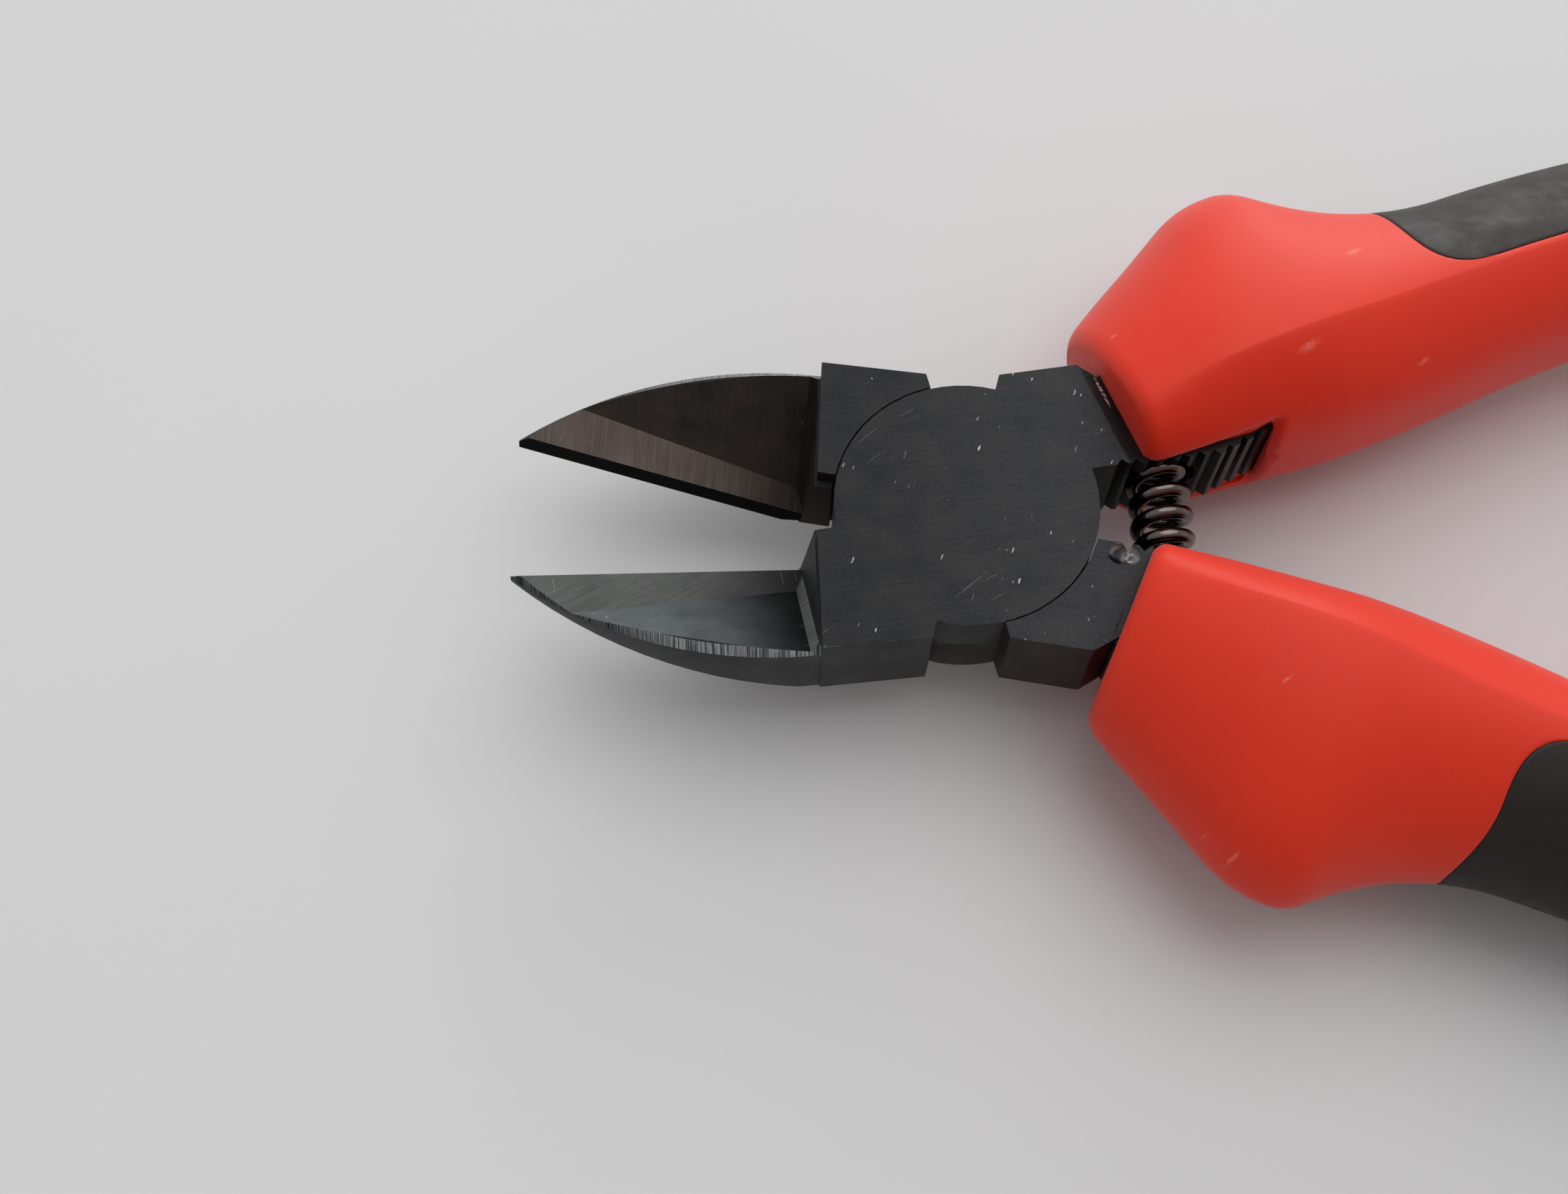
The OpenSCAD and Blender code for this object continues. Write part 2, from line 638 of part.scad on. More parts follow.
// Soft insert that fills the recess
module insert_loft() {
    wide = 2 * insert_row_count + 1;
    layer_n = (insert_count + 1) * wide;
    edge_share = 1 - fit_gap / (swell_half * insert_angle * PI / 180);
    points = [for (sink = [0, insert_t - fit_gap])
        for (i = [0 : insert_count]) for (j = [-insert_row_count : insert_row_count])
            let (v = j * row_angle * edge_share,
                 from = nose_at(j * row_angle) + fit_gap,
                 to = tail_at(j * row_angle) - fit_gap)
            skin(from + (to - from) * i / insert_count, v, sink)];
    function top(i, j) = i * wide + j + insert_row_count;
    function low(i, j) = layer_n + top(i, j);
    faces = concat(
        [for (i = [0 : insert_count - 1]) for (j = [-insert_row_count : insert_row_count - 1])
            each concat(quad(top(i, j), top(i, j + 1), top(i + 1, j + 1), top(i + 1, j)),
                        quad(low(i, j), low(i + 1, j), low(i + 1, j + 1), low(i, j + 1)))],
        [for (j = [-insert_row_count : insert_row_count - 1])
            each concat(quad(top(0, j), low(0, j), low(0, j + 1), top(0, j + 1)),
                        quad(top(insert_count, j), top(insert_count, j + 1),
                             low(insert_count, j + 1), low(insert_count, j)))],
        [for (i = [0 : insert_count - 1])
            each concat(quad(top(i, insert_row_count), low(i, insert_row_count),
                             low(i + 1, insert_row_count), top(i + 1, insert_row_count)),
                        quad(top(i, -insert_row_count), top(i + 1, -insert_row_count),
                             low(i + 1, -insert_row_count), low(i, -insert_row_count)))]);
    polyhedron(points, faces);
}

// Window in the inner side that leaves the spring's pocket and the grooves bare, wider to the rear
module window_space() {
    low = tang_t / 2 + fit_gap;
    intersection() {
        linear_extrude(past, center = true)
            polygon([[0, -past], [window_x, -past], [window_x, tang_edge(window_x) + groove_depth],
                     [tang_bend_x, tang_in + groove_depth], [0, tang_in + groove_depth]]);
        translate([0, 0, mid_z]) rotate([90, 0, 0]) linear_extrude(past, center = true)
            polygon([[0, low], [spring_x, low], [window_x, low + window_flare],
                     [window_x, -low - window_flare], [spring_x, -low], [0, -low]]);
    }
}

// Everything in front of the head's rear edge
module head_space() {
    translate([rear_x + fit_gap, tang_in, 0]) rotate([0, 0, rear_lean])
        translate([-past, -past / 2, -past / 2]) cube([past, past, past]);
}

module sleeve() {
    difference() {
        sleeve_loft();
        tang_bar(fit_gap);
        window_space();
        head_space();
    }
}

module front_sleeve() { color("#d8402f") front_side() sleeve(); }
module back_sleeve() { color("#d8402f") turned_over() sleeve(); }
module front_grip_insert() { color("#565350") front_side() insert_loft(); }
module back_grip_insert() { color("#565350") turned_over() insert_loft(); }

front_lever();
back_lever();
pivot_rivet();
return_spring();
front_sleeve();
back_sleeve();
front_grip_insert();
back_grip_insert();
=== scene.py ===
# %% [markdown]
# # Cutting pliers with red sleeves, in Blender
#
# The tool is a pair of side cutters for plastic: two black steel levers that cross in a round lap
# joint, a rivet, a small coil spring between the tangs, and on each tang a sleeve moulded from two
# plastics. The exact solids come from the CAD model. This script dresses them: it keeps the levers
# and the rivet, builds smooth sleeves, inserts and a round spring wire in their place, and gives
# each surface the finish that its making leaves.
#
# The first cell loads the CAD model. Blender works in metres, and the sizes below are in
# millimetres, so one factor joins the two.

# %% Load the frame
import math
import bmesh
import bpy
import numpy as np
from mathutils import Matrix, Vector


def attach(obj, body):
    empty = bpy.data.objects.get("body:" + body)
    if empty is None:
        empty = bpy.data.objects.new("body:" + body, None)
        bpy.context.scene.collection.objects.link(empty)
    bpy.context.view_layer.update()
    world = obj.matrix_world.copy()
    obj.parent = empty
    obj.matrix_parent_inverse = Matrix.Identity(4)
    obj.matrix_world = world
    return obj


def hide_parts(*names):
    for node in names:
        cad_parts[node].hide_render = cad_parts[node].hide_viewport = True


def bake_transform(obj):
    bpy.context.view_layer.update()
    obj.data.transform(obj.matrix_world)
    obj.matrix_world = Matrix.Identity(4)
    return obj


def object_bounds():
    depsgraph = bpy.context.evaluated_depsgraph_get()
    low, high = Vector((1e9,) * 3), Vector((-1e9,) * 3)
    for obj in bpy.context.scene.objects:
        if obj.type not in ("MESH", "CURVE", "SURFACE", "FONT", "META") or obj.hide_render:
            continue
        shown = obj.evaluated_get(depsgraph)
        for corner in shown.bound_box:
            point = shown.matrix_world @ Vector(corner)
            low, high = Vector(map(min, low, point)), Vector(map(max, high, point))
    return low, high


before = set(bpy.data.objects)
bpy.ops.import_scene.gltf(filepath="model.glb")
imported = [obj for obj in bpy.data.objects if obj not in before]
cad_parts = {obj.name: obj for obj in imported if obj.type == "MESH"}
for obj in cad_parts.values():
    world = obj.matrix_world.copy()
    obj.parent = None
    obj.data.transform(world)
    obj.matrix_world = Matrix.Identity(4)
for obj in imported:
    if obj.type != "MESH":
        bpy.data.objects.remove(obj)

MM = 0.001
cad_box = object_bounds()
print("CAD box in mm:", [[round(c / MM, 2) for c in corner] for corner in cad_box])

# %% [markdown]
# ## Colours and nodes
#
# A colour picked from a picture is an sRGB value, while the renderer adds light in linear values.
# One function turns the hex code of a colour into linear numbers. Every shader below is a small
# net of nodes, and one helper adds a node, sets what it is given and draws its links, so that a
# material reads from top to bottom like a recipe.

# %% Two helpers
def linear(code):
    """Linear RGBA of an sRGB hex colour."""
    parts = [int(code[i:i + 2], 16) / 255 for i in (1, 3, 5)]
    return [p / 12.92 if p <= 0.04045 else ((p + 0.055) / 1.055) ** 2.4 for p in parts] + [1.0]


def add(tree, kind, links=None, **settings):
    """Adds one node with its settings; links maps a socket to a value, an output or a node's first output."""
    node = tree.nodes.new(kind)
    for key, value in settings.items():
        setattr(node, key, value)
    for socket, value in (links or {}).items():
        if isinstance(value, bpy.types.Node):
            value = value.outputs[0]
        if isinstance(value, bpy.types.NodeSocket):
            tree.links.new(value, node.inputs[socket])
        else:
            node.inputs[socket].default_value = value
    return node


print("mid grey is", round(linear("#808080")[0], 3), "in linear light")

# %% [markdown]
# ## Camera
#
# The picture looks down on the tool from a hand's length away, so the near edges spread a little.
# A camera that close is given by the point it looks at, its distance and three angles: the tilt
# away from straight down, a small turn about the vertical and a small roll. Working these out as
# axes keeps the picture's frame exact, which a tracking constraint would not.

# %% Camera
AIM = Vector((-13.63, -4.456, 0)) * MM
DISTANCE = 154.83
TILT, TURN, ROLL = (math.radians(a) for a in (23.55, -1.31, 1.75))
SENSOR_W, FOCAL_PIXELS, PICTURE_W = 36, 2800, 2206
back = Vector((math.sin(TURN) * math.sin(TILT), -math.cos(TURN) * math.sin(TILT), math.cos(TILT)))
level = Vector((math.cos(TURN), math.sin(TURN), 0))
rise = back.cross(level)
right = math.cos(ROLL) * level + math.sin(ROLL) * rise
up = -math.sin(ROLL) * level + math.cos(ROLL) * rise

lens = bpy.data.cameras.new("camera")
lens.sensor_width = SENSOR_W
lens.lens = SENSOR_W * FOCAL_PIXELS / PICTURE_W
lens.clip_start = 0.005
camera = bpy.data.objects.new("camera", lens)
place = AIM + back * DISTANCE * MM
camera.matrix_world = Matrix((right, up, back)).transposed().to_4x4()
camera.matrix_world.translation = place
bpy.context.scene.collection.objects.link(camera)
bpy.context.scene.camera = camera
bpy.context.scene.view_settings.view_transform = "Standard"
print("camera at", [round(c / MM, 1) for c in place], "mm, lens", round(lens.lens, 1), "mm")

# %% [markdown]
# ## Light
#
# The tool lies in a pale room, under a soft ceiling light and with a window behind it. Two area
# lamps give that: the ceiling draws the soft shadows, which fall a little towards the viewer and to
# the left, and the window glances along the far sides and gives the red its gloss. The room is an
# even world. The viewer leans over the tool and keeps light off that side. Studios use a grey card
# for this, called a flag: faces that lean to the viewer mirror it, which is what makes black steel
# read as black. It shapes the light alone, so the camera doesn't see it, and the lamps throw no
# shadow of it on the floor behind.

# %% Light
def new_material(name):
    """Material with an empty node tree, and the tree."""
    material = bpy.data.materials.new(name)
    material.use_nodes = True
    material.node_tree.nodes.clear()
    return material, material.node_tree


def mesh_object(name, points, faces):
    """Object of points in metres and faces, linked into the scene."""
    mesh = bpy.data.meshes.new(name)
    mesh.from_pydata(points, [], faces)
    piece = bpy.data.objects.new(name, mesh)
    bpy.context.scene.collection.objects.link(piece)
    return piece


def stage_sheet(name, corners):
    """Flat sheet of the studio through four corners in metres."""
    sheet = mesh_object(name, corners, [(0, 1, 2, 3)])
    return sheet


# Each lamp: the way towards it, its width in metres and its power in watts
LAMPS = {"ceiling": ((0.22, 0.36, 0.91), 1.4, 8.0), "window": ((0.25, 0.92, 0.3), 0.8, 5.5)}
LAMP_AWAY = 1.25
for name, (way, size, watts) in LAMPS.items():
    way = Vector(way).normalized()
    lamp = bpy.data.lights.new(name, "AREA")
    lamp.shape, lamp.size, lamp.energy = "DISK", size, watts
    lamp.color = linear("#fffefc")[:3]
    light = bpy.data.objects.new(name, lamp)
    light.location = way * LAMP_AWAY
    light.rotation_euler = way.to_track_quat("Z", "Y").to_euler()
    bpy.context.scene.collection.objects.link(light)
    print(name, "lamp", watts, "W,", size, "m wide")

world = bpy.data.worlds.new("room")
world.use_nodes = True
room = world.node_tree
room.nodes.clear()
sky = add(room, "ShaderNodeBackground", {"Color": linear("#f8f8fa"), "Strength": 0.7})
add(room, "ShaderNodeOutputWorld", {"Surface": sky})
bpy.context.scene.world = world

# The flag's half width, then y and z of its foot and of its head, in metres
FLAG_HALF, FLAG_FOOT, FLAG_HEAD = 0.9, (-0.3, -0.007), (-0.42, 1.0)
flag = stage_sheet("flag", [(-FLAG_HALF, *FLAG_FOOT), (FLAG_HALF, *FLAG_FOOT),
                            (FLAG_HALF, *FLAG_HEAD), (-FLAG_HALF, *FLAG_HEAD)])
flag.visible_camera = False
flag.visible_shadow = False
felt, tree = new_material("grey_felt")
face = add(tree, "ShaderNodeBsdfPrincipled", {"Base Color": linear("#8f8d8b"), "Roughness": 1.0})
add(tree, "ShaderNodeOutputMaterial", {0: face})
flag.data.materials.append(felt)

# %% [markdown]
# ## Floor
#
# The floor is a matt white paper-faced board, a single sheet at the height of the lowest point of
# the grips. Paper scatters light almost evenly, so it takes a high roughness and little gloss, with
# a faint clouding so that it isn't a perfectly even field.

# %% Floor
FLOOR_Z, FLOOR_HALF = cad_box[0][2], 3
floor = stage_sheet("floor", [(x * FLOOR_HALF, y * FLOOR_HALF, FLOOR_Z)
                              for x, y in ((-1, -1), (1, -1), (1, 1), (-1, 1))])
board, tree = new_material("paper_faced_board")
where = add(tree, "ShaderNodeTexCoord").outputs["Object"]
cloud = add(tree, "ShaderNodeTexNoise", {"Vector": where, "Scale": 1 / (60 * MM), "Detail": 2.0})
paper = add(tree, "ShaderNodeMix", {0: cloud, 6: linear("#cdcdce"), 7: linear("#d3d3d3")}, data_type="RGBA")
face = add(tree, "ShaderNodeBsdfPrincipled", {"Base Color": paper.outputs[2], "Roughness": 0.85,
                                              "IOR": 1.45, "Specular IOR Level": 0.2})
add(tree, "ShaderNodeOutputMaterial", {0: face})
floor.data.materials.append(board)
print("floor at", round(FLOOR_Z / MM, 2), "mm")

# %% [markdown]
# ## Grip lines
#
# A sleeve is a long body whose outline swells into a finger guard, draws in at a waist and swells
# again for the palm. It could be sculpted, but a designer draws four lines along it: the outer
# side, the inner side, the half thickness and the place of the ridge on top. Each line runs
# straight between stations and turns softly at each of them. The stations are those of the CAD
# model, and the heights stay within a millimetre of its own, so the smooth sleeve lies where the
# solid is.

# %% Grip lines
FRONT_X, GUARD_X, END_X = 13.2, 24.8, 129.0
STATIONS = [FRONT_X, GUARD_X, 30.4, 57.0, 112.0, END_X]
OUT_LINE = [14.4, 26.1, 19.3, 27.0, 23.0, 21.0]
IN_LINE = [0.8, 1.5, 0.8, 11.7, 9.6, 7.6]
HALF_LINE = [7.7, 10.8, 9.4, 8.2, 8.0, 8.0]
RIDGE_LINE = [4.6, 7.4, 8.6, 16.2, 16.3, 14.3]
GUARD_TURN, WAIST_TURN, PALM_TURN, TAIL_TURN = 3.2, 13.0, 22.0, 10.0


def soft_line(values, x, guard_turn=GUARD_TURN, waist_turn=WAIST_TURN):
    """Height at x of straight runs through the stations, with softened corners."""
    turns = [0, guard_turn, waist_turn, PALM_TURN, TAIL_TURN, 0]
    y = np.interp(x, STATIONS, values)
    slopes = np.diff(values) / np.diff(STATIONS)
    for j in range(1, len(STATIONS) - 1):
        reach = np.maximum(0, turns[j] - np.abs(x - STATIONS[j]))
        y = y + (slopes[j] - slopes[j - 1]) / (4 * turns[j]) * reach ** 2
    return y


print("guard stands", round(float(soft_line(OUT_LINE, np.array(GUARD_X))), 2), "mm out")

# %% [markdown]
# ## Grip skin
#
# Round the section the sleeve is a full curve outside and a flatter flank inside, which meet in a
# ridge. A superellipse draws both with one formula and two exponents. At the front the flank is
# squarer, and at the tail all exponents ease to 2, which is a plain ellipse without a ridge. The guard
# turns keenly at the side and more softly towards the ridge, the front is rounded off by a lip and the
# rear by a dome, and the front leans to follow the rear edge of the steel head.

# %% Grip skin
MID_Z, TANG_IN, TANG_W, LEAN = 4.0, 1.4, 8.0, math.tan(math.radians(13.6))
LIP_R, DOME_LEN, DOME_TIP = 1.1, 9.0, 0.06
FLANK_P, FLANK_Q, BACK_P, BACK_Q = 1.25, 2.6, 1.7, 1.7
SQUARE_LEN, TAIL_X = 9.0, 100.0
# Softer turn of the guard on top, and the angles over which the keen turn at the side gives way to it
TOP_TURN, SIDE_TO, TOP_FROM = 6.0, 30, 80


def rise_between(value, start, end):
    """Smooth rise from 0 at start to 1 at end."""
    share = np.clip((value - start) / (end - start), 0, 1)
    return share * share * (3 - 2 * share)


def skin(x, v, sink=0.0):
    """Points of the grip's skin at stations x and angles v in degrees, sunk by a depth, all in mm."""
    low, ridge = soft_line(IN_LINE, x), soft_line(RIDGE_LINE, x, TOP_TURN, TOP_TURN)
    top = rise_between(np.abs(v), SIDE_TO, TOP_FROM)
    high = soft_line(OUT_LINE, x) * (1 - top) + soft_line(OUT_LINE, x, TOP_TURN) * top
    c, s = np.cos(np.radians(v)), np.sin(np.radians(v))
    outside = c >= 0
    width = np.where(outside, high - ridge, ridge - low)
    square = np.clip(1 - (x - FRONT_X) / SQUARE_LEN, 0, 1) ** 2
    tail = rise_between(x, TAIL_X, END_X - DOME_LEN)
    flank_p, flank_q, back_p, back_q = (e + (2 - e) * tail for e in (FLANK_P, FLANK_Q, BACK_P, BACK_Q))
    half = soft_line(HALF_LINE, x, TOP_TURN)
    dy = width * np.sign(c) * np.abs(c) ** np.where(outside, 2 / back_p, 2 / (flank_p + square))
    dz = half * np.sign(s) * np.abs(s) ** np.where(outside, 2 / back_q, 2 / flank_q)
    near = np.minimum(x - FRONT_X, LIP_R)
    lip = 1 - (LIP_R - np.sqrt(np.maximum(0, LIP_R ** 2 - (LIP_R - near) ** 2))) / HALF_LINE[0]
    deep = np.clip((x - END_X + DOME_LEN) / DOME_LEN, 0, 1)
    share = lip * np.maximum(DOME_TIP, np.sqrt(1 - deep ** 2))
    mid = (low + soft_line(OUT_LINE, x)) / 2
    y, z = (ridge + dy - mid) * share, dz * share
    shrink = 1 - sink / np.maximum(np.hypot(y, z), 1e-6)
    y, z = mid + y * shrink, z * shrink
    slant = LEAN * np.maximum(0, 1 - (x - FRONT_X) / (GUARD_X - FRONT_X))
    return np.stack([x - (y - TANG_IN - TANG_W / 2) * slant, y, MID_Z + z], -1)


print("one point of the skin:", skin(np.array(57.0), np.array(0.0)).round(2))

# %% [markdown]
# ## Loft
#
# A grid of points over the skin becomes a mesh by joining neighbours into quads. The grid's lines
# run along the edge of the soft insert and crowd together there, so that the thin joint between
# the two plastics can be a real step. An evenly spaced grid would cut that edge into a staircase.

# %% Loft
NOSE_X, INSERT_END_X, INSERT_T, CORNER, SKEW = 37.4, 119.0, 1.8, 6.2, 2.0
EDGE_A, EDGE_B = 86.0, -81.5
CORNER_POWER, SKEW_OVER = 5.5, 50
# Length of skin in mm for a degree of angle, near the insert's edge
PER_DEGREE = 0.17


def corner_at(v):
    """How far the insert's rounded corners draw in its ends at an angle, in mm."""
    w = np.minimum(1, v / np.where(np.asarray(v) > 0, EDGE_A, EDGE_B))
    return CORNER * (1 - np.sqrt(1 - w ** CORNER_POWER))


def nose_at(v):
    """Front end of the insert at an angle: skewed, with round corners."""
    return NOSE_X + SKEW * (1 - np.cos(math.pi * np.clip(-v / SKEW_OVER, 0, 1))) / 2 + corner_at(v)


def tail_at(v):
    """Rear end of the insert at an angle."""
    return INSERT_END_X - corner_at(v)


def into_insert(x, v):
    """How far a point of the skin lies inside the insert's edge, in mm; negative outside it."""
    across = np.minimum(EDGE_A - v, v - EDGE_B) * PER_DEGREE
    return np.minimum(np.minimum(x - nose_at(v), tail_at(v) - x), across)


def grid_object(name, points):
    """Object of one loft: points in mm joined into quads round the section, with end caps."""
    cols, rows = points.shape[:2]
    at = np.arange(cols * rows).reshape(cols, rows)
    ring = np.concatenate([at, at[:, :1]], 1)
    quads = np.stack([ring[:-1, :-1], ring[:-1, 1:], ring[1:, 1:], ring[1:, :-1]], -1).reshape(-1, 4)
    caps = [at[0, ::-1].tolist(), at[-1].tolist()]
    return mesh_object(name, (points.reshape(-1, 3) * MM).tolist(), quads.tolist() + caps)


# Places of the grid's lines across the insert's edge, in mm
EDGE = np.array([-0.9, -0.55, -0.32, -0.18, -0.08, 0, 0.08, 0.12, 0.2, 0.35, 0.6, 0.95])
print("insert's nose runs from and to:", [round(float(nose_at(v)), 1) for v in (0.0, EDGE_B)], "mm")

# %% [markdown]
# ## Sleeve body
#
# The hard red part is moulded first, with a recess for the soft insert, so its skin steps down by
# the insert's thickness inside the insert's edge. The arris of the recess is eased by a tenth of a
# millimetre, as a mould leaves it. On the inner side, a window shows the spring's seat and the
# grooves of the tang: the skin rolls in round it before it is cut.

# %% Sleeve skin
WINDOW_X, SPRING_X, WINDOW_HALF, FLARE, ROLL_R = 24.5, 15.9, 3.66, 1.4, 0.8
WALL_RUN, RIM_EASE, RIM_RUN, INNER_SIDE = 0.12, 0.1, 0.32, 100


def window_half(x):
    """Half height of the window at x."""
    return WINDOW_HALF + FLARE * np.clip((x - SPRING_X) / (WINDOW_X - SPRING_X), 0, 1)


# The grid: angles round the section, and stations that are closest at the lip, the insert's edge and
# the dome
angles = np.concatenate([np.arange(-180, 180, 3.0), EDGE_A + EDGE / PER_DEGREE, EDGE_B - EDGE / PER_DEGREE])
angles = np.unique(angles.round(3))
front = np.concatenate([FRONT_X + np.array([0.05, 0.12, 0.22, 0.36, 0.55, 0.8, 1.1, 1.45]),
                        np.linspace(FRONT_X + 1.9, NOSE_X - 1.3, 66)])
shares = (front - FRONT_X) / (NOSE_X - FRONT_X)
body = np.linspace(0, 1, 92)[1:-1]
dome = np.sin(np.radians(np.linspace(0, 90, 22)))[1:]
columns = []
for v in angles:
    nose, tail = float(nose_at(v)), float(tail_at(v))
    columns.append(np.concatenate([
        FRONT_X + shares * (nose - FRONT_X), nose + EDGE,
        nose + EDGE[-1] + (tail - nose - 2 * EDGE[-1]) * body,
        tail - EDGE[::-1], tail - EDGE[0] + (END_X - tail + EDGE[0]) * dome]))
xs = np.array(columns).T
vs = np.broadcast_to(angles, xs.shape)
inside = into_insert(xs, vs)
step_down = INSERT_T * np.clip(inside / WALL_RUN, 0, 1)
eased_rim = RIM_EASE * np.clip(1 + inside / RIM_RUN, 0, 1) ** 2
recess = np.where(inside > 0, step_down, eased_rim)
points = skin(xs, vs)
gap_x = np.maximum(points[..., 0] - WINDOW_X, 0)
gap_z = np.maximum(np.abs(points[..., 2] - MID_Z) - window_half(points[..., 0]), 0)
off = np.clip(1 - np.hypot(gap_x, gap_z) / ROLL_R, 0, 1)
roll_in = np.where(np.abs(vs) > INNER_SIDE, ROLL_R * (1 - np.sqrt(1 - off ** 2)), 0)
sleeve = grid_object("sleeve_front", skin(xs, vs, np.maximum(recess, roll_in)))
print("sleeve skin:", len(sleeve.data.polygons), "faces")

# %% [markdown]
# ## Window and socket
#
# The tang sits in a socket inside the sleeve, and the window opens onto it. Both are cut with
# solids of the same plan as the tang, grown by the moulding gap. The socket is one prism. The window
# is drawn twice, in plan and from the side, and is what the two prisms share.

# %% Cutters
def face_outwards(mesh):
    """Turns all faces of a closed mesh outwards."""
    shell = bmesh.new()
    shell.from_mesh(mesh)
    bmesh.ops.recalc_face_normals(shell, faces=shell.faces)
    shell.to_mesh(mesh)
    shell.free()


def prism(name, section, low, high, axis):
    """Closed prism of a section in mm, drawn in the two axes other than the given one."""
    n = len(section)
    ends = [np.insert(np.array(section, float), axis, end, axis=1) for end in (low, high)]
    faces = [list(range(n)), list(range(2 * n - 1, n - 1, -1))]
    faces += [[i, n + i, n + (i + 1) % n, (i + 1) % n] for i in range(n)]
    piece = mesh_object(name, (np.concatenate(ends) * MM).tolist(), faces)
    face_outwards(piece.data)
    return piece


def grip_mid(x):
    """Middle of the grip at x, between its inner and outer side."""
    return float(soft_line(OUT_LINE, np.array(x)) + soft_line(IN_LINE, np.array(x))) / 2


# Stations of the tang: its bend, its middle and its tip, with the width at each
BEND_X, MIDDLE_X, TIP_X = 20.2, 50, 92
TANG_WIDTHS = [TANG_W, 6.8, 5.6]


def tang_edges(x):
    """Inner and outer edge of the tang at x: straight to the bend, then along the middle of the grip."""
    at_x = [BEND_X, MIDDLE_X, TIP_X]
    middle = np.interp(x, at_x, [TANG_IN + TANG_W / 2, grip_mid(MIDDLE_X), grip_mid(TIP_X)])
    half = np.interp(x, at_x, TANG_WIDTHS) / 2
    return middle - half, middle + half


# Moulding gap, depth of the tang's grooves, front end of the socket, and the window's blunt corners
GAP, GROOVE, SOCKET_X = 0.06, 0.45, 12.12
BLUNT, BLUNT_SHARE = 0.7, 0.82
# The cutters of the window reach right through the sleeve: inwards, up and down, and across
CUT_IN, CUT_UP, CUT_ACROSS = 20, 12, 30
bends = [SOCKET_X, BEND_X, MIDDLE_X, TIP_X + GAP]
inner_side = [(x, tang_edges(x)[0] - GAP) for x in bends]
outer_side = [(x, tang_edges(x)[1] + GAP) for x in bends[::-1]]
socket = prism("socket", inner_side + outer_side, MID_Z - WINDOW_HALF, MID_Z + WINDOW_HALF, 2)
window_plan = [(0, -CUT_IN), (WINDOW_X, -CUT_IN), (WINDOW_X, tang_edges(WINDOW_X)[0] + GROOVE),
               (BEND_X, TANG_IN + GROOVE), (0, TANG_IN + GROOVE)]
opening = prism("opening", window_plan, MID_Z - CUT_UP, MID_Z + CUT_UP, 2)
side_plan = [(0, -1), (SPRING_X, -1), (WINDOW_X - BLUNT, -1), (WINDOW_X, -BLUNT_SHARE),
             (WINDOW_X, BLUNT_SHARE), (WINDOW_X - BLUNT, 1), (SPRING_X, 1), (0, 1)]
side_view = [(x, MID_Z + share * float(window_half(x))) for x, share in side_plan]
slot_side = prism("slot_side", side_view, -CUT_ACROSS, CUT_ACROSS, 1)
print("socket runs from", SOCKET_X, "to", TIP_X, "mm, window to", WINDOW_X, "mm")

# %% [markdown]
# ## Cuts
#
# The holes could be left out of the loft, but a Boolean is right here: the cut edges are straight
# prisms through a curved skin. Its result is kept as the mesh, and the cutters are thrown away.

# %% Cut the window and the socket
for piece, cutter, action in ((opening, slot_side, "INTERSECT"), (sleeve, socket, "DIFFERENCE"),
                              (sleeve, opening, "DIFFERENCE")):
    cut = piece.modifiers.new("cut", "BOOLEAN")
    cut.operation, cut.object, cut.solver = action, cutter, "EXACT"
    bpy.context.view_layer.update()
    result = bpy.data.meshes.new_from_object(piece.evaluated_get(bpy.context.evaluated_depsgraph_get()))
    piece.modifiers.clear()
    piece.data = result
for cutter in (socket, opening, slot_side):
    bpy.data.objects.remove(cutter)
print("cut sleeve:", len(sleeve.data.polygons), "faces")

# %% [markdown]
# ## Soft insert
#
# The dark grey part is a soft rubber moulded into the recess. It is a closed shell as thick as the
# recess is deep, with its edges eased in, so the joint shows as a fine line. Two lofts, the outer
# skin and the sunk underside, are joined round the rim.

# %% Insert shell
def shell_object(name, top, under):
    """Closed shell from two grids of points in mm with the same rim."""
    cols, rows = top.shape[:2]
    at = np.arange(cols * rows).reshape(cols, rows)
    quads = np.stack([at[:-1, :-1], at[:-1, 1:], at[1:, 1:], at[1:, :-1]], -1).reshape(-1, 4)
    rim = np.concatenate([at[0, :-1], at[:-1, -1], at[-1, :0:-1], at[:0:-1, 0]])
    n = cols * rows
    walls = np.stack([np.roll(rim, -1), rim, rim + n, np.roll(rim, -1) + n], -1)
    both = np.concatenate([top.reshape(-1, 3), under.reshape(-1, 3)]) * MM
    return mesh_object(name, both.tolist(), np.concatenate([quads, quads[:, ::-1] + n, walls]).tolist())


# Places of the grid's lines inside the insert's edge, in mm, and how the edge is eased
EASE = np.array([0.05, 0.1, 0.18, 0.3, 0.5])
EASE_DEPTH, EASE_RUN = 0.12, 0.3
across = np.linspace(EDGE_B + 4, EDGE_A - 4, 62)
turns = np.concatenate([EDGE_B + EASE / PER_DEGREE, across, EDGE_A - EASE[::-1] / PER_DEGREE])
columns = []
for v in turns:
    nose, tail = float(nose_at(v)), float(tail_at(v))
    middle = nose + EASE[-1] + (tail - nose - 2 * EASE[-1]) * body
    columns.append(np.concatenate([nose + EASE, middle, tail - EASE[::-1]]))
xs = np.array(columns).T
vs = np.broadcast_to(turns, xs.shape)
eased = EASE_DEPTH * np.clip(1 - into_insert(xs, vs) / EASE_RUN, 0, 1) ** 2
insert = shell_object("insert_front", skin(xs, vs, eased), skin(xs, vs, INSERT_T - GAP))
print("insert shell:", len(insert.data.polygons), "faces")

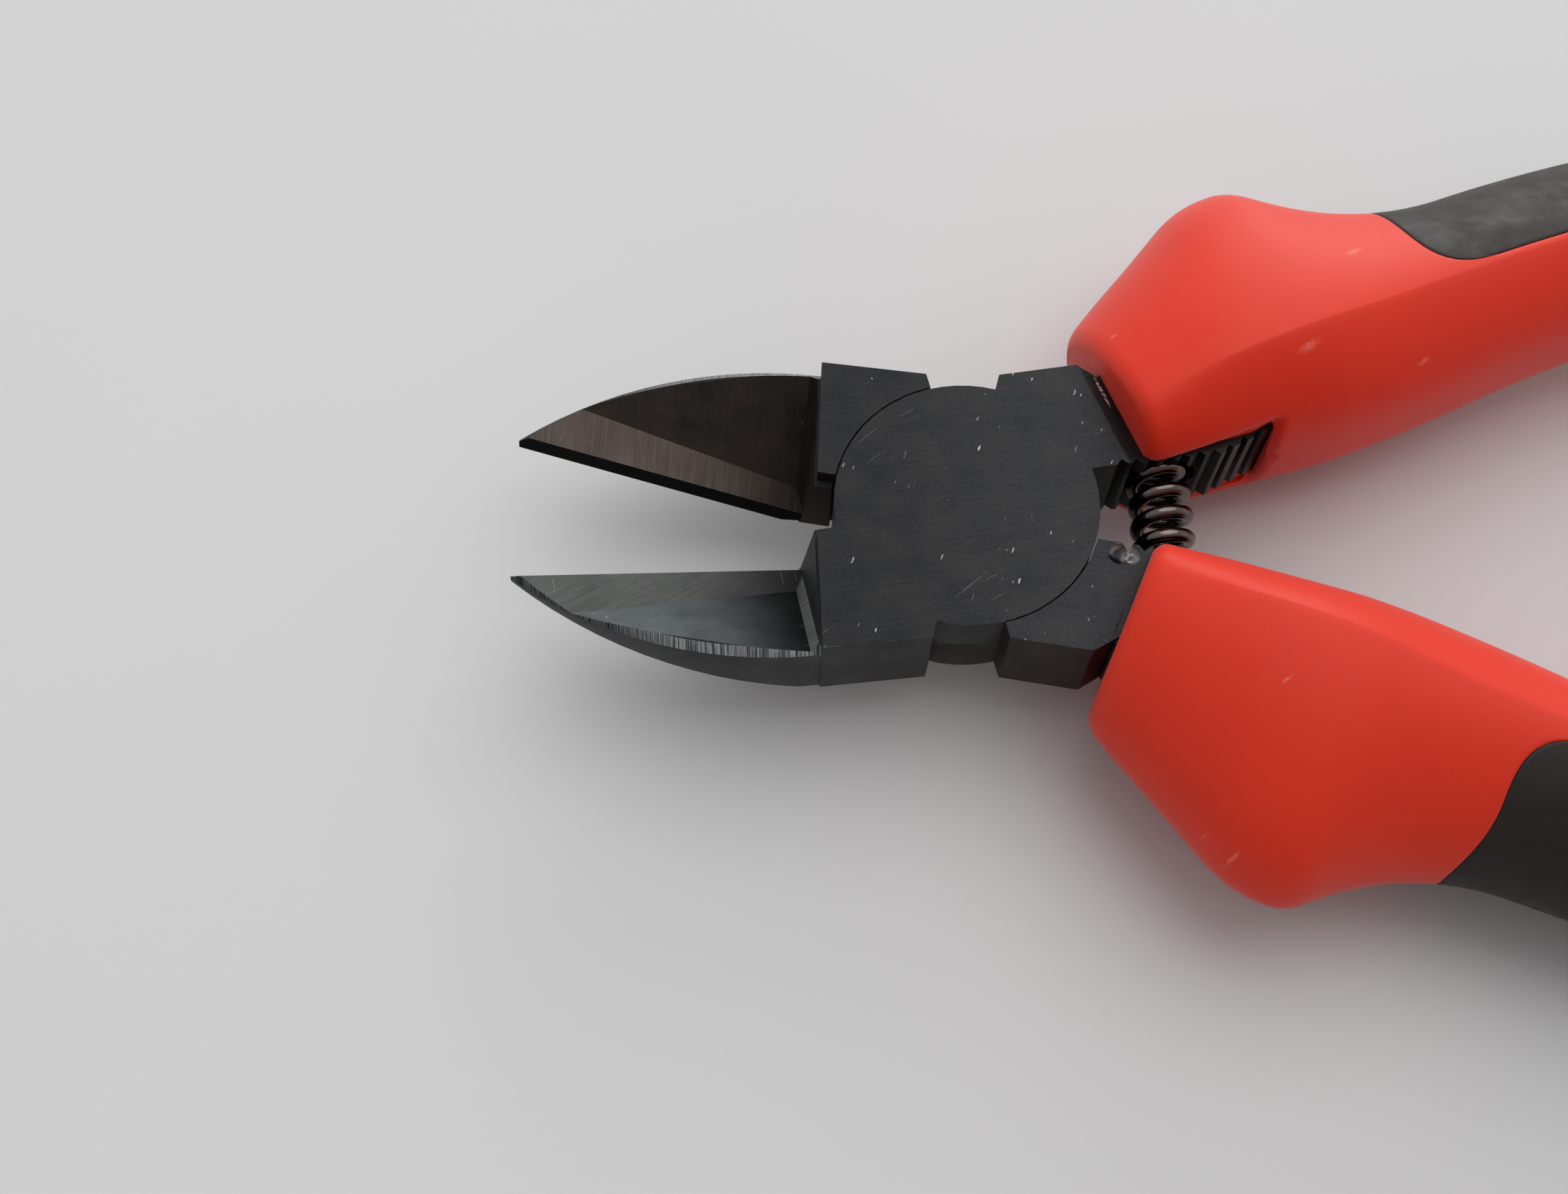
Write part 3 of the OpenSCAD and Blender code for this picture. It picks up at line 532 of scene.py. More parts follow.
# %% [markdown]
# ## Both sides
#
# One mould serves both levers: the second sleeve is the first one turned over, so the insert's skew
# nose shows on opposite faces. At rest the spring holds each half a little open, so the front pair
# is turned by half the opening angle, and a half turn about the tool's long axis gives the back
# pair. Each piece rides on its half of the tool and stands for its CAD solid.

# %% Turn over and mount the grips
OPENING = 18.2
OPEN_HALF = math.radians(OPENING / 2)
SHARP_GRIP, SHARP_WIRE = 42, 50
turn = Matrix.Rotation(OPEN_HALF, 4, "Z")
turn_over = Matrix.Translation((0, 0, 2 * MID_Z * MM)) @ Matrix.Rotation(math.pi, 4, "X")


def smooth_out(piece, sharp_angle):
    """Turns all faces outwards and shades them smooth up to an angle in degrees."""
    face_outwards(piece.data)
    piece.data.shade_smooth()
    piece.data.set_sharp_from_angle(angle=math.radians(sharp_angle))


grips = {}
for piece, node, slot in ((sleeve, "sleeve", "red_plastic"), (insert, "grip_insert", "grey_rubber")):
    piece.data.transform(turn)
    twin = bpy.data.objects.new(piece.name.replace("front", "back"), piece.data.copy())
    twin.data.transform(turn_over)
    bpy.context.scene.collection.objects.link(twin)
    for half, moulding in (("front", piece), ("back", twin)):
        smooth_out(moulding, SHARP_GRIP)
        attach(moulding, half + "_half")
        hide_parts(half + "_" + node)
        grips[half + "_" + node] = moulding
print("grips:", sorted(grips))

# %% [markdown]
# ## Return spring
#
# The spring is a round wire wound into seven open coils, with its ends bent down into the seats.
# Its axis is an arc, because it meets both slanted seats squarely. A curve with a bevel would do,
# but a tube built ring by ring keeps the wire round.

# %% Return spring
WIRE_D, SPRING_D, COILS, SEAT, POCKET = 1.15, 5, 7, 0.05, 5
PER_COIL, SIDES = 32, 14
COIL_R = (SPRING_D - WIRE_D) / 2
floor_y = TANG_IN + POCKET
floor_x = SPRING_X * math.cos(OPEN_HALF) - floor_y * math.sin(OPEN_HALF)
floor_rest = SPRING_X * math.sin(OPEN_HALF) + floor_y * math.cos(OPEN_HALF)
ARC_R = floor_rest / math.sin(OPEN_HALF)
ARC_X = floor_x - ARC_R * math.cos(OPEN_HALF)
ARC_LEN = 2 * ARC_R * OPEN_HALF
bend_r, leg = 0.8 * WIRE_D, SEAT + WIRE_D
start = leg + bend_r
pitch = (ARC_LEN - 2 * start) / COILS
bow = np.radians(np.linspace(0, 90, 8))
turn_of = bend_r / COIL_R
steps = np.linspace(0, COILS, COILS * PER_COIL + 1)[1:-1]
along = np.concatenate([[SEAT, 0.6 * leg], leg + bend_r * np.sin(bow), start + pitch * steps,
                        ARC_LEN - leg - bend_r * np.sin(bow[::-1]), [ARC_LEN - 0.6 * leg, ARC_LEN - SEAT]])
last = 2 * math.pi * COILS + 2 * turn_of
round_by = np.concatenate([[0, 0], turn_of * (1 - np.cos(bow)), turn_of + 2 * math.pi * steps,
                           last - turn_of * (1 - np.cos(bow[::-1])), [last, last]])
lean = (along - ARC_LEN / 2) / ARC_R
axis = np.stack([ARC_X + ARC_R * np.cos(lean), ARC_R * np.sin(lean), np.full_like(lean, MID_Z)], -1)
level_part = np.cos(round_by)
outward = np.stack([np.cos(lean) * level_part, np.sin(lean) * level_part, -np.sin(round_by)], -1)
path = axis + COIL_R * outward
run = np.gradient(path, axis=0)
run /= np.linalg.norm(run, axis=1, keepdims=True)
out = outward - (outward * run).sum(1, keepdims=True) * run
out /= np.linalg.norm(out, axis=1, keepdims=True)
across = np.cross(run, out)
ring = np.radians(np.arange(0, 360, 360 / SIDES))[None, :, None]
wire = path[:, None] + WIRE_D / 2 * (np.cos(ring) * out[:, None] + np.sin(ring) * across[:, None])
spring = grid_object("spring_wire", wire)
smooth_out(spring, SHARP_WIRE)
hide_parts("return_spring")
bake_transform(spring)
print("spring wire:", round(float(np.linalg.norm(np.diff(path, axis=0), axis=1).sum()), 1), "mm long")

# %% [markdown]
# ## Foot of the ramp
#
# A ramp eases one face of each lever down to its sleeve. The solid has a fin without thickness at
# the ramp's foot, where two cuts end in one plane, like a burr that a file takes off. Its points
# could be deleted by hand, but a modifier leaves the solid as it is: a short net of geometry nodes
# picks the points that lie in the rear plane of the head and stand higher than the tang behind it.

# %% Take the fin off
REAR_TURN = math.atan(LEAN) + OPEN_HALF
REAR_PLANE, TANG_HALF, SLACK = 14.1, 3.6, 0.1
rear_from, proud_from = (REAR_PLANE - SLACK) * MM, (TANG_HALF + SLACK) * MM
deburr = bpy.data.node_groups.new("deburr", "GeometryNodeTree")
for way in ("INPUT", "OUTPUT"):
    deburr.interface.new_socket("Geometry", in_out=way, socket_type="NodeSocketGeometry")
solid = add(deburr, "NodeGroupInput")
place = add(deburr, "GeometryNodeInputPosition")
point = add(deburr, "ShaderNodeSeparateXYZ", {0: place})
aside = add(deburr, "ShaderNodeMath", {0: point.outputs["Y"]}, operation="ABSOLUTE")
along = add(deburr, "ShaderNodeMath", {0: point.outputs["X"], 1: math.cos(REAR_TURN)}, operation="MULTIPLY")
reach = add(deburr, "ShaderNodeMath", {0: aside, 1: math.sin(REAR_TURN), 2: along}, operation="MULTIPLY_ADD")
at_rear = add(deburr, "ShaderNodeMath", {0: reach, 1: rear_from}, operation="GREATER_THAN")
# The front lever's ramp is on the upper face and the back lever's, across the tool, on the lower one
side = add(deburr, "ShaderNodeMath", {0: point.outputs["Y"]}, operation="SIGN")
rise = add(deburr, "ShaderNodeMath", {0: point.outputs["Z"], 1: MID_Z * MM}, operation="SUBTRACT")
height = add(deburr, "ShaderNodeMath", {0: rise, 1: side}, operation="MULTIPLY")
proud = add(deburr, "ShaderNodeMath", {0: height, 1: proud_from}, operation="GREATER_THAN")
fin = add(deburr, "ShaderNodeMath", {0: at_rear, 1: proud}, operation="MULTIPLY")
trimmed = add(deburr, "GeometryNodeDeleteGeometry", {"Geometry": solid, "Selection": fin})
add(deburr, "NodeGroupOutput", {0: trimmed})
for name in ("front_lever", "back_lever"):
    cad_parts[name].modifiers.new("deburr", "NODES").node_group = deburr
print("fin taken off at", REAR_PLANE, "mm along the rear plane's direction")

# %% [markdown]
# ## Steel edges
#
# The levers are forged, machined and blackened, and tumbling takes the keenness off their arrises.
# The CAD solids have knife-sharp edges, which catch no light. Modifiers mend that without touching
# the solid: weld the imported triangles, merge flat ones, then bevel the squarer edges by a tenth of
# a millimetre. The rivet is ground flush with the head, so its edge stays sharp.

# %% Break the edges of the levers
for name in ("front_lever", "back_lever"):
    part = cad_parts[name]
    weld = part.modifiers.new("weld", "WELD")
    weld.merge_threshold = 0.002 * MM
    merge = part.modifiers.new("merge", "DECIMATE")
    merge.decimate_type = "DISSOLVE"
    merge.angle_limit = math.radians(0.5)
    bevel = part.modifiers.new("arris", "BEVEL")
    bevel.width = 0.1 * MM
    bevel.segments = 2
    bevel.limit_method = "ANGLE"
    bevel.angle_limit = math.radians(32)
    bevel.harden_normals = True
    print(name, "edges broken by", round(bevel.width / MM, 2), "mm")

# %% [markdown]
# ## Faces of the levers
#
# The faces of a lever were forged, milled or ground one by one, and each took its own tone. They
# could be told apart by painted masks, but most are planes, so the direction that a face looks in is
# enough: a mask is the dot product of the normal with a known direction, in the lever's own frame
# with the jaws closed. The angles are those of the CAD model. Two marks go by their place instead:
# a small dent beside the spring, and a painted glint, a bright line drawn on the ramp by the
# sleeve's corner.

# %% Directions of the faces
def leaning_face(aside, along):
    """Direction of a level face after it leans aside and along the jaw, by angles in degrees."""
    a, b = math.radians(aside), math.radians(along)
    return math.cos(a) * math.sin(b), math.sin(a), math.cos(a) * math.cos(b)


# Direction of each face, and the dot product from which a point counts as that face, give or take a blur
BLUR = 0.005
JAW_FACES = {
    "bevel": (leaning_face(8, 15.4), 0.99),
    "hollow": (leaning_face(35, 12.8), 0.99),
    "rim": ((-0.265, -0.655, 0.707), 0.89),
    "foot": ((-0.62, 0.475, 0.62), 0.97),
    "land": ((0.1, 0.92, 0.38), 0.96),
}
# From one x to another, in mm, the head becomes jaw or tang
JAW_FROM, JAW_TO, TANG_FROM, TANG_TO = -11.3, -11.6, 9, 9.5
DENT, DENT_R, DENT_CORE = (12.8 * MM, 2.3 * MM, 7.8 * MM), 1.1 * MM, 0.5 * MM
DENT_TOP, DENT_LOW = 7.97 * MM, 7.9 * MM
# Place, length and width of the painted glint: a bright line on the ramp, a painted highlight of its edge
GLINT, GLINT_LONG, GLINT_WIDE = (12.15 * MM, 7.9 * MM, 7.75 * MM), 1.6 * MM, 0.15 * MM
print("jaw faces:", sorted(JAW_FACES))

# %% [markdown]
# ## Masks of the faces
#
# A shader can't pick faces by hand, but it can read where a point lies and which way its surface
# looks. Both are first turned back by half the opening angle, and mirrored on the back lever, so one
# set of directions serves both levers. The jaw's faces and the upright sides go by direction, the
# tang's inner side by direction and place, and the dent and the painted glint by place alone.

# %% Masks of the faces
def own_frame(tree, side):
    """Place and direction of a point in a lever's own closed frame, whole and as x, y and z."""
    where = add(tree, "ShaderNodeTexCoord")
    closed = {"Rotation": (0, 0, -OPEN_HALF), "Scale": (1, side, 1)}
    own = add(tree, "ShaderNodeMapping", {"Vector": where.outputs["Object"], **closed})
    closed["Vector"] = where.outputs["Normal"]
    facing = add(tree, "ShaderNodeMapping", closed, vector_type="VECTOR")
    at = add(tree, "ShaderNodeSeparateXYZ", {0: own})
    n = add(tree, "ShaderNodeSeparateXYZ", {0: facing})
    return own, facing, at, n


def face_masks(tree, own, facing, at, n):
    """Masks by name, each 1 on a kind of face or mark and 0 elsewhere."""
    jaw = add(tree, "ShaderNodeMapRange", {0: at.outputs["X"], 1: JAW_FROM * MM, 2: JAW_TO * MM})
    masks = {"jaw": jaw}
    for face_name, (direction, limit) in JAW_FACES.items():
        dot = add(tree, "ShaderNodeVectorMath", {0: facing, 1: direction}, operation="DOT_PRODUCT")
        near = add(tree, "ShaderNodeMapRange", {0: dot.outputs["Value"], 1: limit - BLUR, 2: limit + BLUR})
        masks[face_name] = add(tree, "ShaderNodeMath", {0: near, 1: jaw}, operation="MULTIPLY")
    steep = add(tree, "ShaderNodeMath", {0: n.outputs["Z"]}, operation="ABSOLUTE")
    masks["flank"] = add(tree, "ShaderNodeMapRange", {0: steep, 1: 0.45, 2: 0.35})
    inner = add(tree, "ShaderNodeMapRange", {0: n.outputs["Y"], 1: -0.2, 2: -0.3})
    behind = add(tree, "ShaderNodeMapRange", {0: at.outputs["X"], 1: TANG_FROM * MM, 2: TANG_TO * MM})
    masks["tang"] = add(tree, "ShaderNodeMath", {0: inner, 1: behind}, operation="MULTIPLY")
    far = add(tree, "ShaderNodeVectorMath", {0: own, 1: DENT}, operation="DISTANCE")
    close = add(tree, "ShaderNodeMapRange", {0: far.outputs["Value"], 1: DENT_R, 2: DENT_CORE})
    sunk = add(tree, "ShaderNodeMapRange", {0: at.outputs["Z"], 1: DENT_TOP, 2: DENT_LOW})
    masks["dent"] = add(tree, "ShaderNodeMath", {0: close, 1: sunk}, operation="MULTIPLY")
    # Painted glint: a bright line on the ramp where its edge would catch the light, a painted highlight
    glint_at = add(tree, "ShaderNodeMapping", {"Vector": own, "Location": GLINT,
                                             "Rotation": (0, 0, math.pi / 2 + math.atan(LEAN)),
                                             "Scale": (GLINT_LONG, GLINT_WIDE, 1)}, vector_type="TEXTURE")
    along = add(tree, "ShaderNodeVectorMath", {0: glint_at}, operation="LENGTH")
    masks["painted_glint"] = add(tree, "ShaderNodeMapRange", {0: along.outputs["Value"], 1: 1.1, 2: 0.5})
    return masks


print("jaw starts at", JAW_FROM, "mm, tang at", TANG_FROM, "mm")

# %% [markdown]
# ## Patterns in the oxide
#
# Black oxide clouds over patches of about 4 mm and has a fine grain, and the tools that shaped the
# steel leave lines: streaks along the faces, grinding lines across the bevel and the cutter's steps
# on the rim. Noise gives the clouds and the grain. The lines are noise too, stretched along one
# direction and drawn coarser than the real lines so that they show.

# %% Patterns in the oxide
def oxide_patterns(tree, own, lines):
    """Patterns by name; lines is the angle of the grinding lines in degrees."""
    cloud = add(tree, "ShaderNodeTexNoise", {"Vector": own, "Scale": 1 / (4 * MM), "Detail": 6.0,
                                             "Roughness": 0.65})
    grain = add(tree, "ShaderNodeTexNoise", {"Vector": own, "Scale": 1 / (0.25 * MM), "Detail": 3.0})
    pattern = {"cloud": cloud, "grain": grain}
    # Length and width of the lines in mm, and their angle
    machined = {"streak": (9, 0.2, 0), "cross": (5, 0.25, lines), "tick": (3, 0.11, 84)}
    for line, (long, wide, angle) in machined.items():
        stretch = {"Rotation": (0, 0, math.radians(angle)), "Scale": (long * MM, wide * MM, 1)}
        line_at = add(tree, "ShaderNodeMapping", {"Vector": own, **stretch}, vector_type="TEXTURE")
        pattern[line] = add(tree, "ShaderNodeTexNoise", {"Vector": line_at, "Scale": 1.0, "Detail": 4.0})
    # Two patterns in one: a share of the first is added to the second
    mixes = {"speckled": ("grain", 0.4, "cloud"), "patchy": ("streak", 0.3, "speckled"),
             "worked": ("cross", 0.2, "cloud")}
    for mixed, (over, share, under) in mixes.items():
        pattern[mixed] = add(tree, "ShaderNodeMath", {0: pattern[over], 1: share, 2: pattern[under]},
                             operation="MULTIPLY_ADD")
    return pattern


print("a cloud of 4 mm has a noise scale of", round(1 / (4 * MM)), "per metre")

# %% [markdown]
# ## Tones of the faces
#
# Black oxide is a thin hot-dipped conversion layer on steel: a matt, nearly neutral black with a
# soft metal sheen. Towards the handles it is painted a little paler, which is painted light where the
# head catches more of it. The upright sides are painted paler, a painted reflection of the bright
# floor that they mirror, and browner on the back lever. The grooved tang is oily; its near-black,
# red-tinted tones are painted shade inside the sleeve's window and a painted reflection of the red
# plastic. The bevel behind the cutting edge is ground after blackening, so it is paler. The bevel and
# the hollow are painted darker towards the heel, painted shade against the shoulder. The hollow was
# milled, and its rim shows the cutter's steps. Each kind of face is a layer of two tones, laid over
# the ones before through its mask. Each lever has its own tones.

# %% Tones of the faces
# Each layer: the pattern that mixes its two tones, the pattern's values at the darker and the paler
# one, and the tones on the front lever and on the back lever. A mark that one lever lacks has the
# oxide's tones there
LAYERS = {
    "oxide": ("patchy", 0.65, 1.05, ("#27282b", "#373737"), ("#27282b", "#373737")),
    # The flank's paler tones are a painted reflection of the bright floor that the upright sides mirror
    "flank": ("cloud", 0.35, 0.65, ("#38393b", "#525254"), ("#362e2f", "#494041")),
    "bevel": ("cross", 0.3, 0.7, ("#484a49", "#535453"), ("#49413d", "#59504b")),
    "hollow": ("worked", 0.42, 0.78, ("#4f5456", "#6a7071"), ("#31302f", "#4a403b")),
    "rim": ("tick", 0.4, 0.65, ("#4c5052", "#c6cacb"), ("#6d6d6d", "#9a9a99")),
    "foot": ("streak", 0.35, 0.65, ("#666c6a", "#808683"), ("#262422", "#2e2b29")),
    "land": ("cloud", 0.35, 0.65, ("#151516", "#1d1d1e"), ("#151516", "#1f1e1f")),
    # The tang's near-black, red-tinted tones are painted shade in the window and a painted reflection of the
    # red plastic
    "tang": ("cloud", 0.35, 0.65, ("#100e0e", "#1d1919"), ("#100e0e", "#1d1919")),
    # The dent's pale tones are partly bare metal where it was struck and partly a painted highlight
    "dent": ("grain", 0.35, 0.65, ("#27282b", "#373737"), ("#383736", "#918f8d")),
    # The painted glint is a painted highlight on the front lever's ramp; the back lever keeps the oxide there
    "painted_glint": ("grain", 0.4, 0.6, ("#5a5a5a", "#f2f2f0"), ("#27282b", "#373737")),
}
# Change of a layer along the lever: from one x in mm to another, and the share of the full tone at
# each, on the front lever and on the back lever
SHADES = {
    # The oxide's rise towards the handles is painted light
    "oxide": (-11, 13, (0.96, 1.28), (0.96, 1.28)),
    # The bevel's and the hollow's fall towards the heel is painted shade against the shoulder
    "bevel": (-24, -14, (1.0, 0.44), (1.0, 0.44)),
    "hollow": (-24, -13, (1.0, 0.12), (1.0, 0.75)),
    "rim": (-29, -23, (0.3, 1.0), (0.3, 1.0)),
}


def face_tones(tree, at, masks, pattern, lever):
    """Colour of a whole lever, 0 for the front one and 1 for the back one."""
    colour = None
    for layer, (kind, low, high, *tones) in LAYERS.items():
        dark, pale = (linear(code) for code in tones[lever])
        tone = add(tree, "ShaderNodeMapRange", {0: pattern[kind], 1: low, 2: high})
        fill = add(tree, "ShaderNodeMix", {0: tone, 6: dark, 7: pale}, data_type="RGBA").outputs[2]
        if layer in SHADES:
            from_x, to_x, *shares = SHADES[layer]
            change = {1: from_x * MM, 2: to_x * MM, 3: shares[lever][0], 4: shares[lever][1]}
            shade = add(tree, "ShaderNodeMapRange", {0: at.outputs["X"], **change},
                        interpolation_type="SMOOTHSTEP")
            fill = add(tree, "ShaderNodeVectorMath", {0: fill, "Scale": shade}, operation="SCALE")
        if colour is None:
            colour = fill
        else:
            laid = add(tree, "ShaderNodeMix", {0: masks[layer], 6: colour, 7: fill}, data_type="RGBA")
            colour = laid.outputs[2]
    return colour


print("layers of the steel:", list(LAYERS))

# %% [markdown]
# ## Marks of use
#
# Use leaves short bright flecks, scratches, scores and hairlines on the level faces, more of them
# towards the side that the tool is laid on. They could be painted one by one. Here a mark is one cell
# of a Voronoi pattern, stretched to the mark's length and width, with a ragged outline. The cell's
# random colour decides whether it is drawn, how large and how bright.

# %% Marks of use
# Cell of a mark: length and width in mm, angle in degrees, greatest radius in cells, share of the
# cells that are marked, and greatest strength
MARKS = {"fleck": (2.4, 0.55, 62, 0.12, 0.2, 1.0), "scratch": (55, 0.9, 32, 0.06, 0.2, 0.8),
         "score": (26, 0.8, 92, 0.045, 0.15, 0.6), "hairline": (14, 0.5, 20, 0.07, 0.5, 0.22)}
LAID_SIDE = (0.8, -0.6, 0)


def add_marks(tree, own, n, grain, colour, marked):
    """Colour with marks drawn over it, and the surface's height with the marks cut into its grain."""
    level_face = add(tree, "ShaderNodeMapRange", {0: n.outputs["Z"], 1: 0.6, 2: 0.75})
    toward = add(tree, "ShaderNodeVectorMath", {0: own, 1: LAID_SIDE}, operation="DOT_PRODUCT")
    dense = add(tree, "ShaderNodeMapRange", {0: toward.outputs["Value"], 1: -9 * MM, 2: 8 * MM,
                                             3: 0.3 * marked, 4: marked})
    shake = add(tree, "ShaderNodeTexNoise", {"Vector": own, "Scale": 1 / (0.25 * MM), "Detail": 2.0})
    ragged = add(tree, "ShaderNodeVectorMath", {0: shake.outputs["Color"], 1: (0.18 * MM,) * 3, 2: own},
                 operation="MULTIPLY_ADD")
    height = grain
    for long, wide, angle, radius, share, strength in MARKS.values():
        stretch = {"Rotation": (0, 0, math.radians(angle)), "Scale": (long * MM, wide * MM, 1)}
        spot_at = add(tree, "ShaderNodeMapping", {"Vector": ragged, **stretch}, vector_type="TEXTURE")
        cell = add(tree, "ShaderNodeTexVoronoi", {"Vector": spot_at, "Scale": 1.0}, voronoi_dimensions="2D")
        chance = add(tree, "ShaderNodeSeparateColor", {0: cell.outputs["Color"]})
        from_chance = add(tree, "ShaderNodeMath", {0: dense, 1: -share, 2: 1.0}, operation="MULTIPLY_ADD")
        size = add(tree, "ShaderNodeMapRange", {0: chance, 1: from_chance, 2: 1.0, 3: 0.0, 4: radius})
        broken = add(tree, "ShaderNodeMath", {0: grain, 1: size}, operation="MULTIPLY")
        depth = add(tree, "ShaderNodeMath", {0: broken, 1: 2.0, 2: -0.002}, operation="MULTIPLY_ADD")
        drawn = add(tree, "ShaderNodeMath", {0: cell.outputs["Distance"], 1: depth}, operation="LESS_THAN")
        mark = add(tree, "ShaderNodeMath", {0: drawn, 1: level_face}, operation="MULTIPLY")
        few = add(tree, "ShaderNodeMath", {0: chance.outputs[1], 1: 2.0}, operation="POWER")
        bright = add(tree, "ShaderNodeMapRange", {0: few, 3: 0.15 * strength, 4: strength})
        shown = add(tree, "ShaderNodeMath", {0: mark, 1: bright}, operation="MULTIPLY")
        over = add(tree, "ShaderNodeMix", {0: shown, 6: colour, 7: linear("#b4b4b0")}, data_type="RGBA")
        colour = over.outputs[2]
        height = add(tree, "ShaderNodeMath", {0: shown, 1: -1.0, 2: height}, operation="MULTIPLY_ADD")
    return colour, height


print("kinds of marks:", list(MARKS))

# %% [markdown]
# ## Black-oxide steel
#
# The finish is these parts in turn, then the arrises, which handling has rubbed to grey in chips; the
# grey is also a painted highlight along the edges. On the head only broken edges lean between level
# and upright, so a range of directions finds them. The oxide is matt, and the oily tang is glossier.
# The rivet's heads were ground with the front lever's face, so the rivet takes that finish.

# %% Black-oxide steel
def black_oxide(name, lever, side, lines, marked):
    """Finish of one lever, with the angle of its grinding lines and how marked it is."""
    material, tree = new_material(name)
    own, facing, at, n = own_frame(tree, side)
    masks = face_masks(tree, own, facing, at, n)
    pattern = oxide_patterns(tree, own, lines)
    colour = face_tones(tree, at, masks, pattern, lever)
    colour, height = add_marks(tree, own, n, pattern["grain"], colour, marked)

    # Arrises: grey chips of wear, which also serve as a painted highlight along the edges
    leaning = add(tree, "ShaderNodeMapRange", {0: n.outputs["Z"], 1: 0.2, 2: 0.5})
    upright = add(tree, "ShaderNodeMapRange", {0: n.outputs["Z"], 1: 0.93, 2: 0.85})
    edge = add(tree, "ShaderNodeMath", {0: leaning, 1: upright}, operation="MULTIPLY")
    head = add(tree, "ShaderNodeMath", {0: 1.0, 1: masks["jaw"]}, operation="SUBTRACT")
    edge_wear_and_highlight = add(tree, "ShaderNodeMath", {0: edge, 1: head}, operation="MULTIPLY")
    chip = add(tree, "ShaderNodeTexNoise", {"Vector": own, "Scale": 1 / (0.8 * MM), "Detail": 3.0})
    chipped = add(tree, "ShaderNodeMapRange", {0: chip, 1: 0.4, 2: 0.65})
    chipped_wear_and_highlight = add(tree, "ShaderNodeMath", {0: edge_wear_and_highlight, 1: chipped}, operation="MULTIPLY")
    colour = add(tree, "ShaderNodeMix", {0: chipped_wear_and_highlight, 6: colour, 7: linear("#8c8c8c")}, data_type="RGBA")

    matt = add(tree, "ShaderNodeMapRange", {0: pattern["cloud"], 1: 0.3, 2: 0.7, 3: 0.54, 4: 0.64})
    rough = add(tree, "ShaderNodeMix", {0: masks["tang"], 2: matt, 3: 0.32})
    bump = add(tree, "ShaderNodeBump", {"Strength": 0.3, "Distance": 0.02 * MM, "Height": height})
    metal = add(tree, "ShaderNodeBsdfPrincipled", {"Base Color": colour.outputs[2], "Metallic": 1.0,
                                                   "Roughness": rough, "Normal": bump})
    add(tree, "ShaderNodeOutputMaterial", {0: metal})
    return material


steel = {"front_lever": black_oxide("black_oxide_front", 0, 1, 28, 1.0),
         "back_lever": black_oxide("black_oxide_back", 1, -1, 84, 0.5)}
steel["pivot_rivet"] = steel["front_lever"]
for name, material in steel.items():
    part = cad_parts[name]
    part.data.materials.clear()
    part.data.materials.append(material)
print("steel on", sorted(steel))

# %% [markdown]
# ## Spring wire
#
# Spring wire is drawn hard and bright, then oiled: smoother and shinier than the levers, with a
# brown-black tone. Its tone drifts a little along the wire.

# %% Spring steel
wire_steel, tree = new_material("oiled_spring_wire")
where = add(tree, "ShaderNodeTexCoord").outputs["Object"]
tone = add(tree, "ShaderNodeTexNoise", {"Vector": where, "Scale": 1 / (1.5 * MM), "Detail": 3.0})
colour = add(tree, "ShaderNodeMix", {0: tone, 6: linear("#463f3b"), 7: linear("#7a726d")}, data_type="RGBA")
rough = add(tree, "ShaderNodeMapRange", {0: tone, 3: 0.1, 4: 0.2})
metal = add(tree, "ShaderNodeBsdfPrincipled", {"Base Color": colour.outputs[2], "Metallic": 1.0,
                                               "Roughness": rough})
add(tree, "ShaderNodeOutputMaterial", {0: metal})
spring.data.materials.append(wire_steel)
print("wire material on", spring.name)

# %% [markdown]
# ## Red polypropylene
#
# The hard part of the sleeve is moulded polypropylene: an even orange red, semi-matt from a finely
# spark-eroded mould, with a broad soft highlight. A fine grain in the bump breaks the highlight, and
# the colour clouds very slightly where the melt flowed. A few pale scuffs show that it was used.

# %% Red polypropylene
red, tree = new_material("moulded_polypropylene_red")
where = add(tree, "ShaderNodeTexCoord").outputs["Object"]
flow = add(tree, "ShaderNodeTexNoise", {"Vector": where, "Scale": 1 / (9 * MM), "Detail": 3.0})
melt = add(tree, "ShaderNodeMix", {0: flow, 6: linear("#d32c15"), 7: linear("#dc3217")}, data_type="RGBA")
# Grain of the mould: about 0.1 mm, drawn at twice that so that it shows
spark = add(tree, "ShaderNodeTexNoise", {"Vector": where, "Scale": 1 / (0.22 * MM), "Detail": 2.0})
# A scuff lies in a cell of 9 by 3 mm, and about one cell in seven has one
scuff_at = add(tree, "ShaderNodeMapping", {"Vector": where, "Location": (12 * MM, -1.7 * MM, 0),
                                           "Rotation": (0, 0, math.radians(35)),
                                           "Scale": (9 * MM, 3 * MM, 1)}, vector_type="TEXTURE")
cell = add(tree, "ShaderNodeTexVoronoi", {"Vector": scuff_at, "Scale": 1.0}, voronoi_dimensions="2D")
chance = add(tree, "ShaderNodeSeparateColor", {0: cell.outputs["Color"]})
size = add(tree, "ShaderNodeMapRange", {0: chance, 1: 0.85, 2: 1.0, 3: 0.0, 4: 0.24})
reach = add(tree, "ShaderNodeMath", {0: size, 1: spark}, operation="MULTIPLY")
faint = add(tree, "ShaderNodeMapRange", {0: cell.outputs["Distance"], 1: reach, 2: 0.0, 3: 0.0, 4: 0.3})
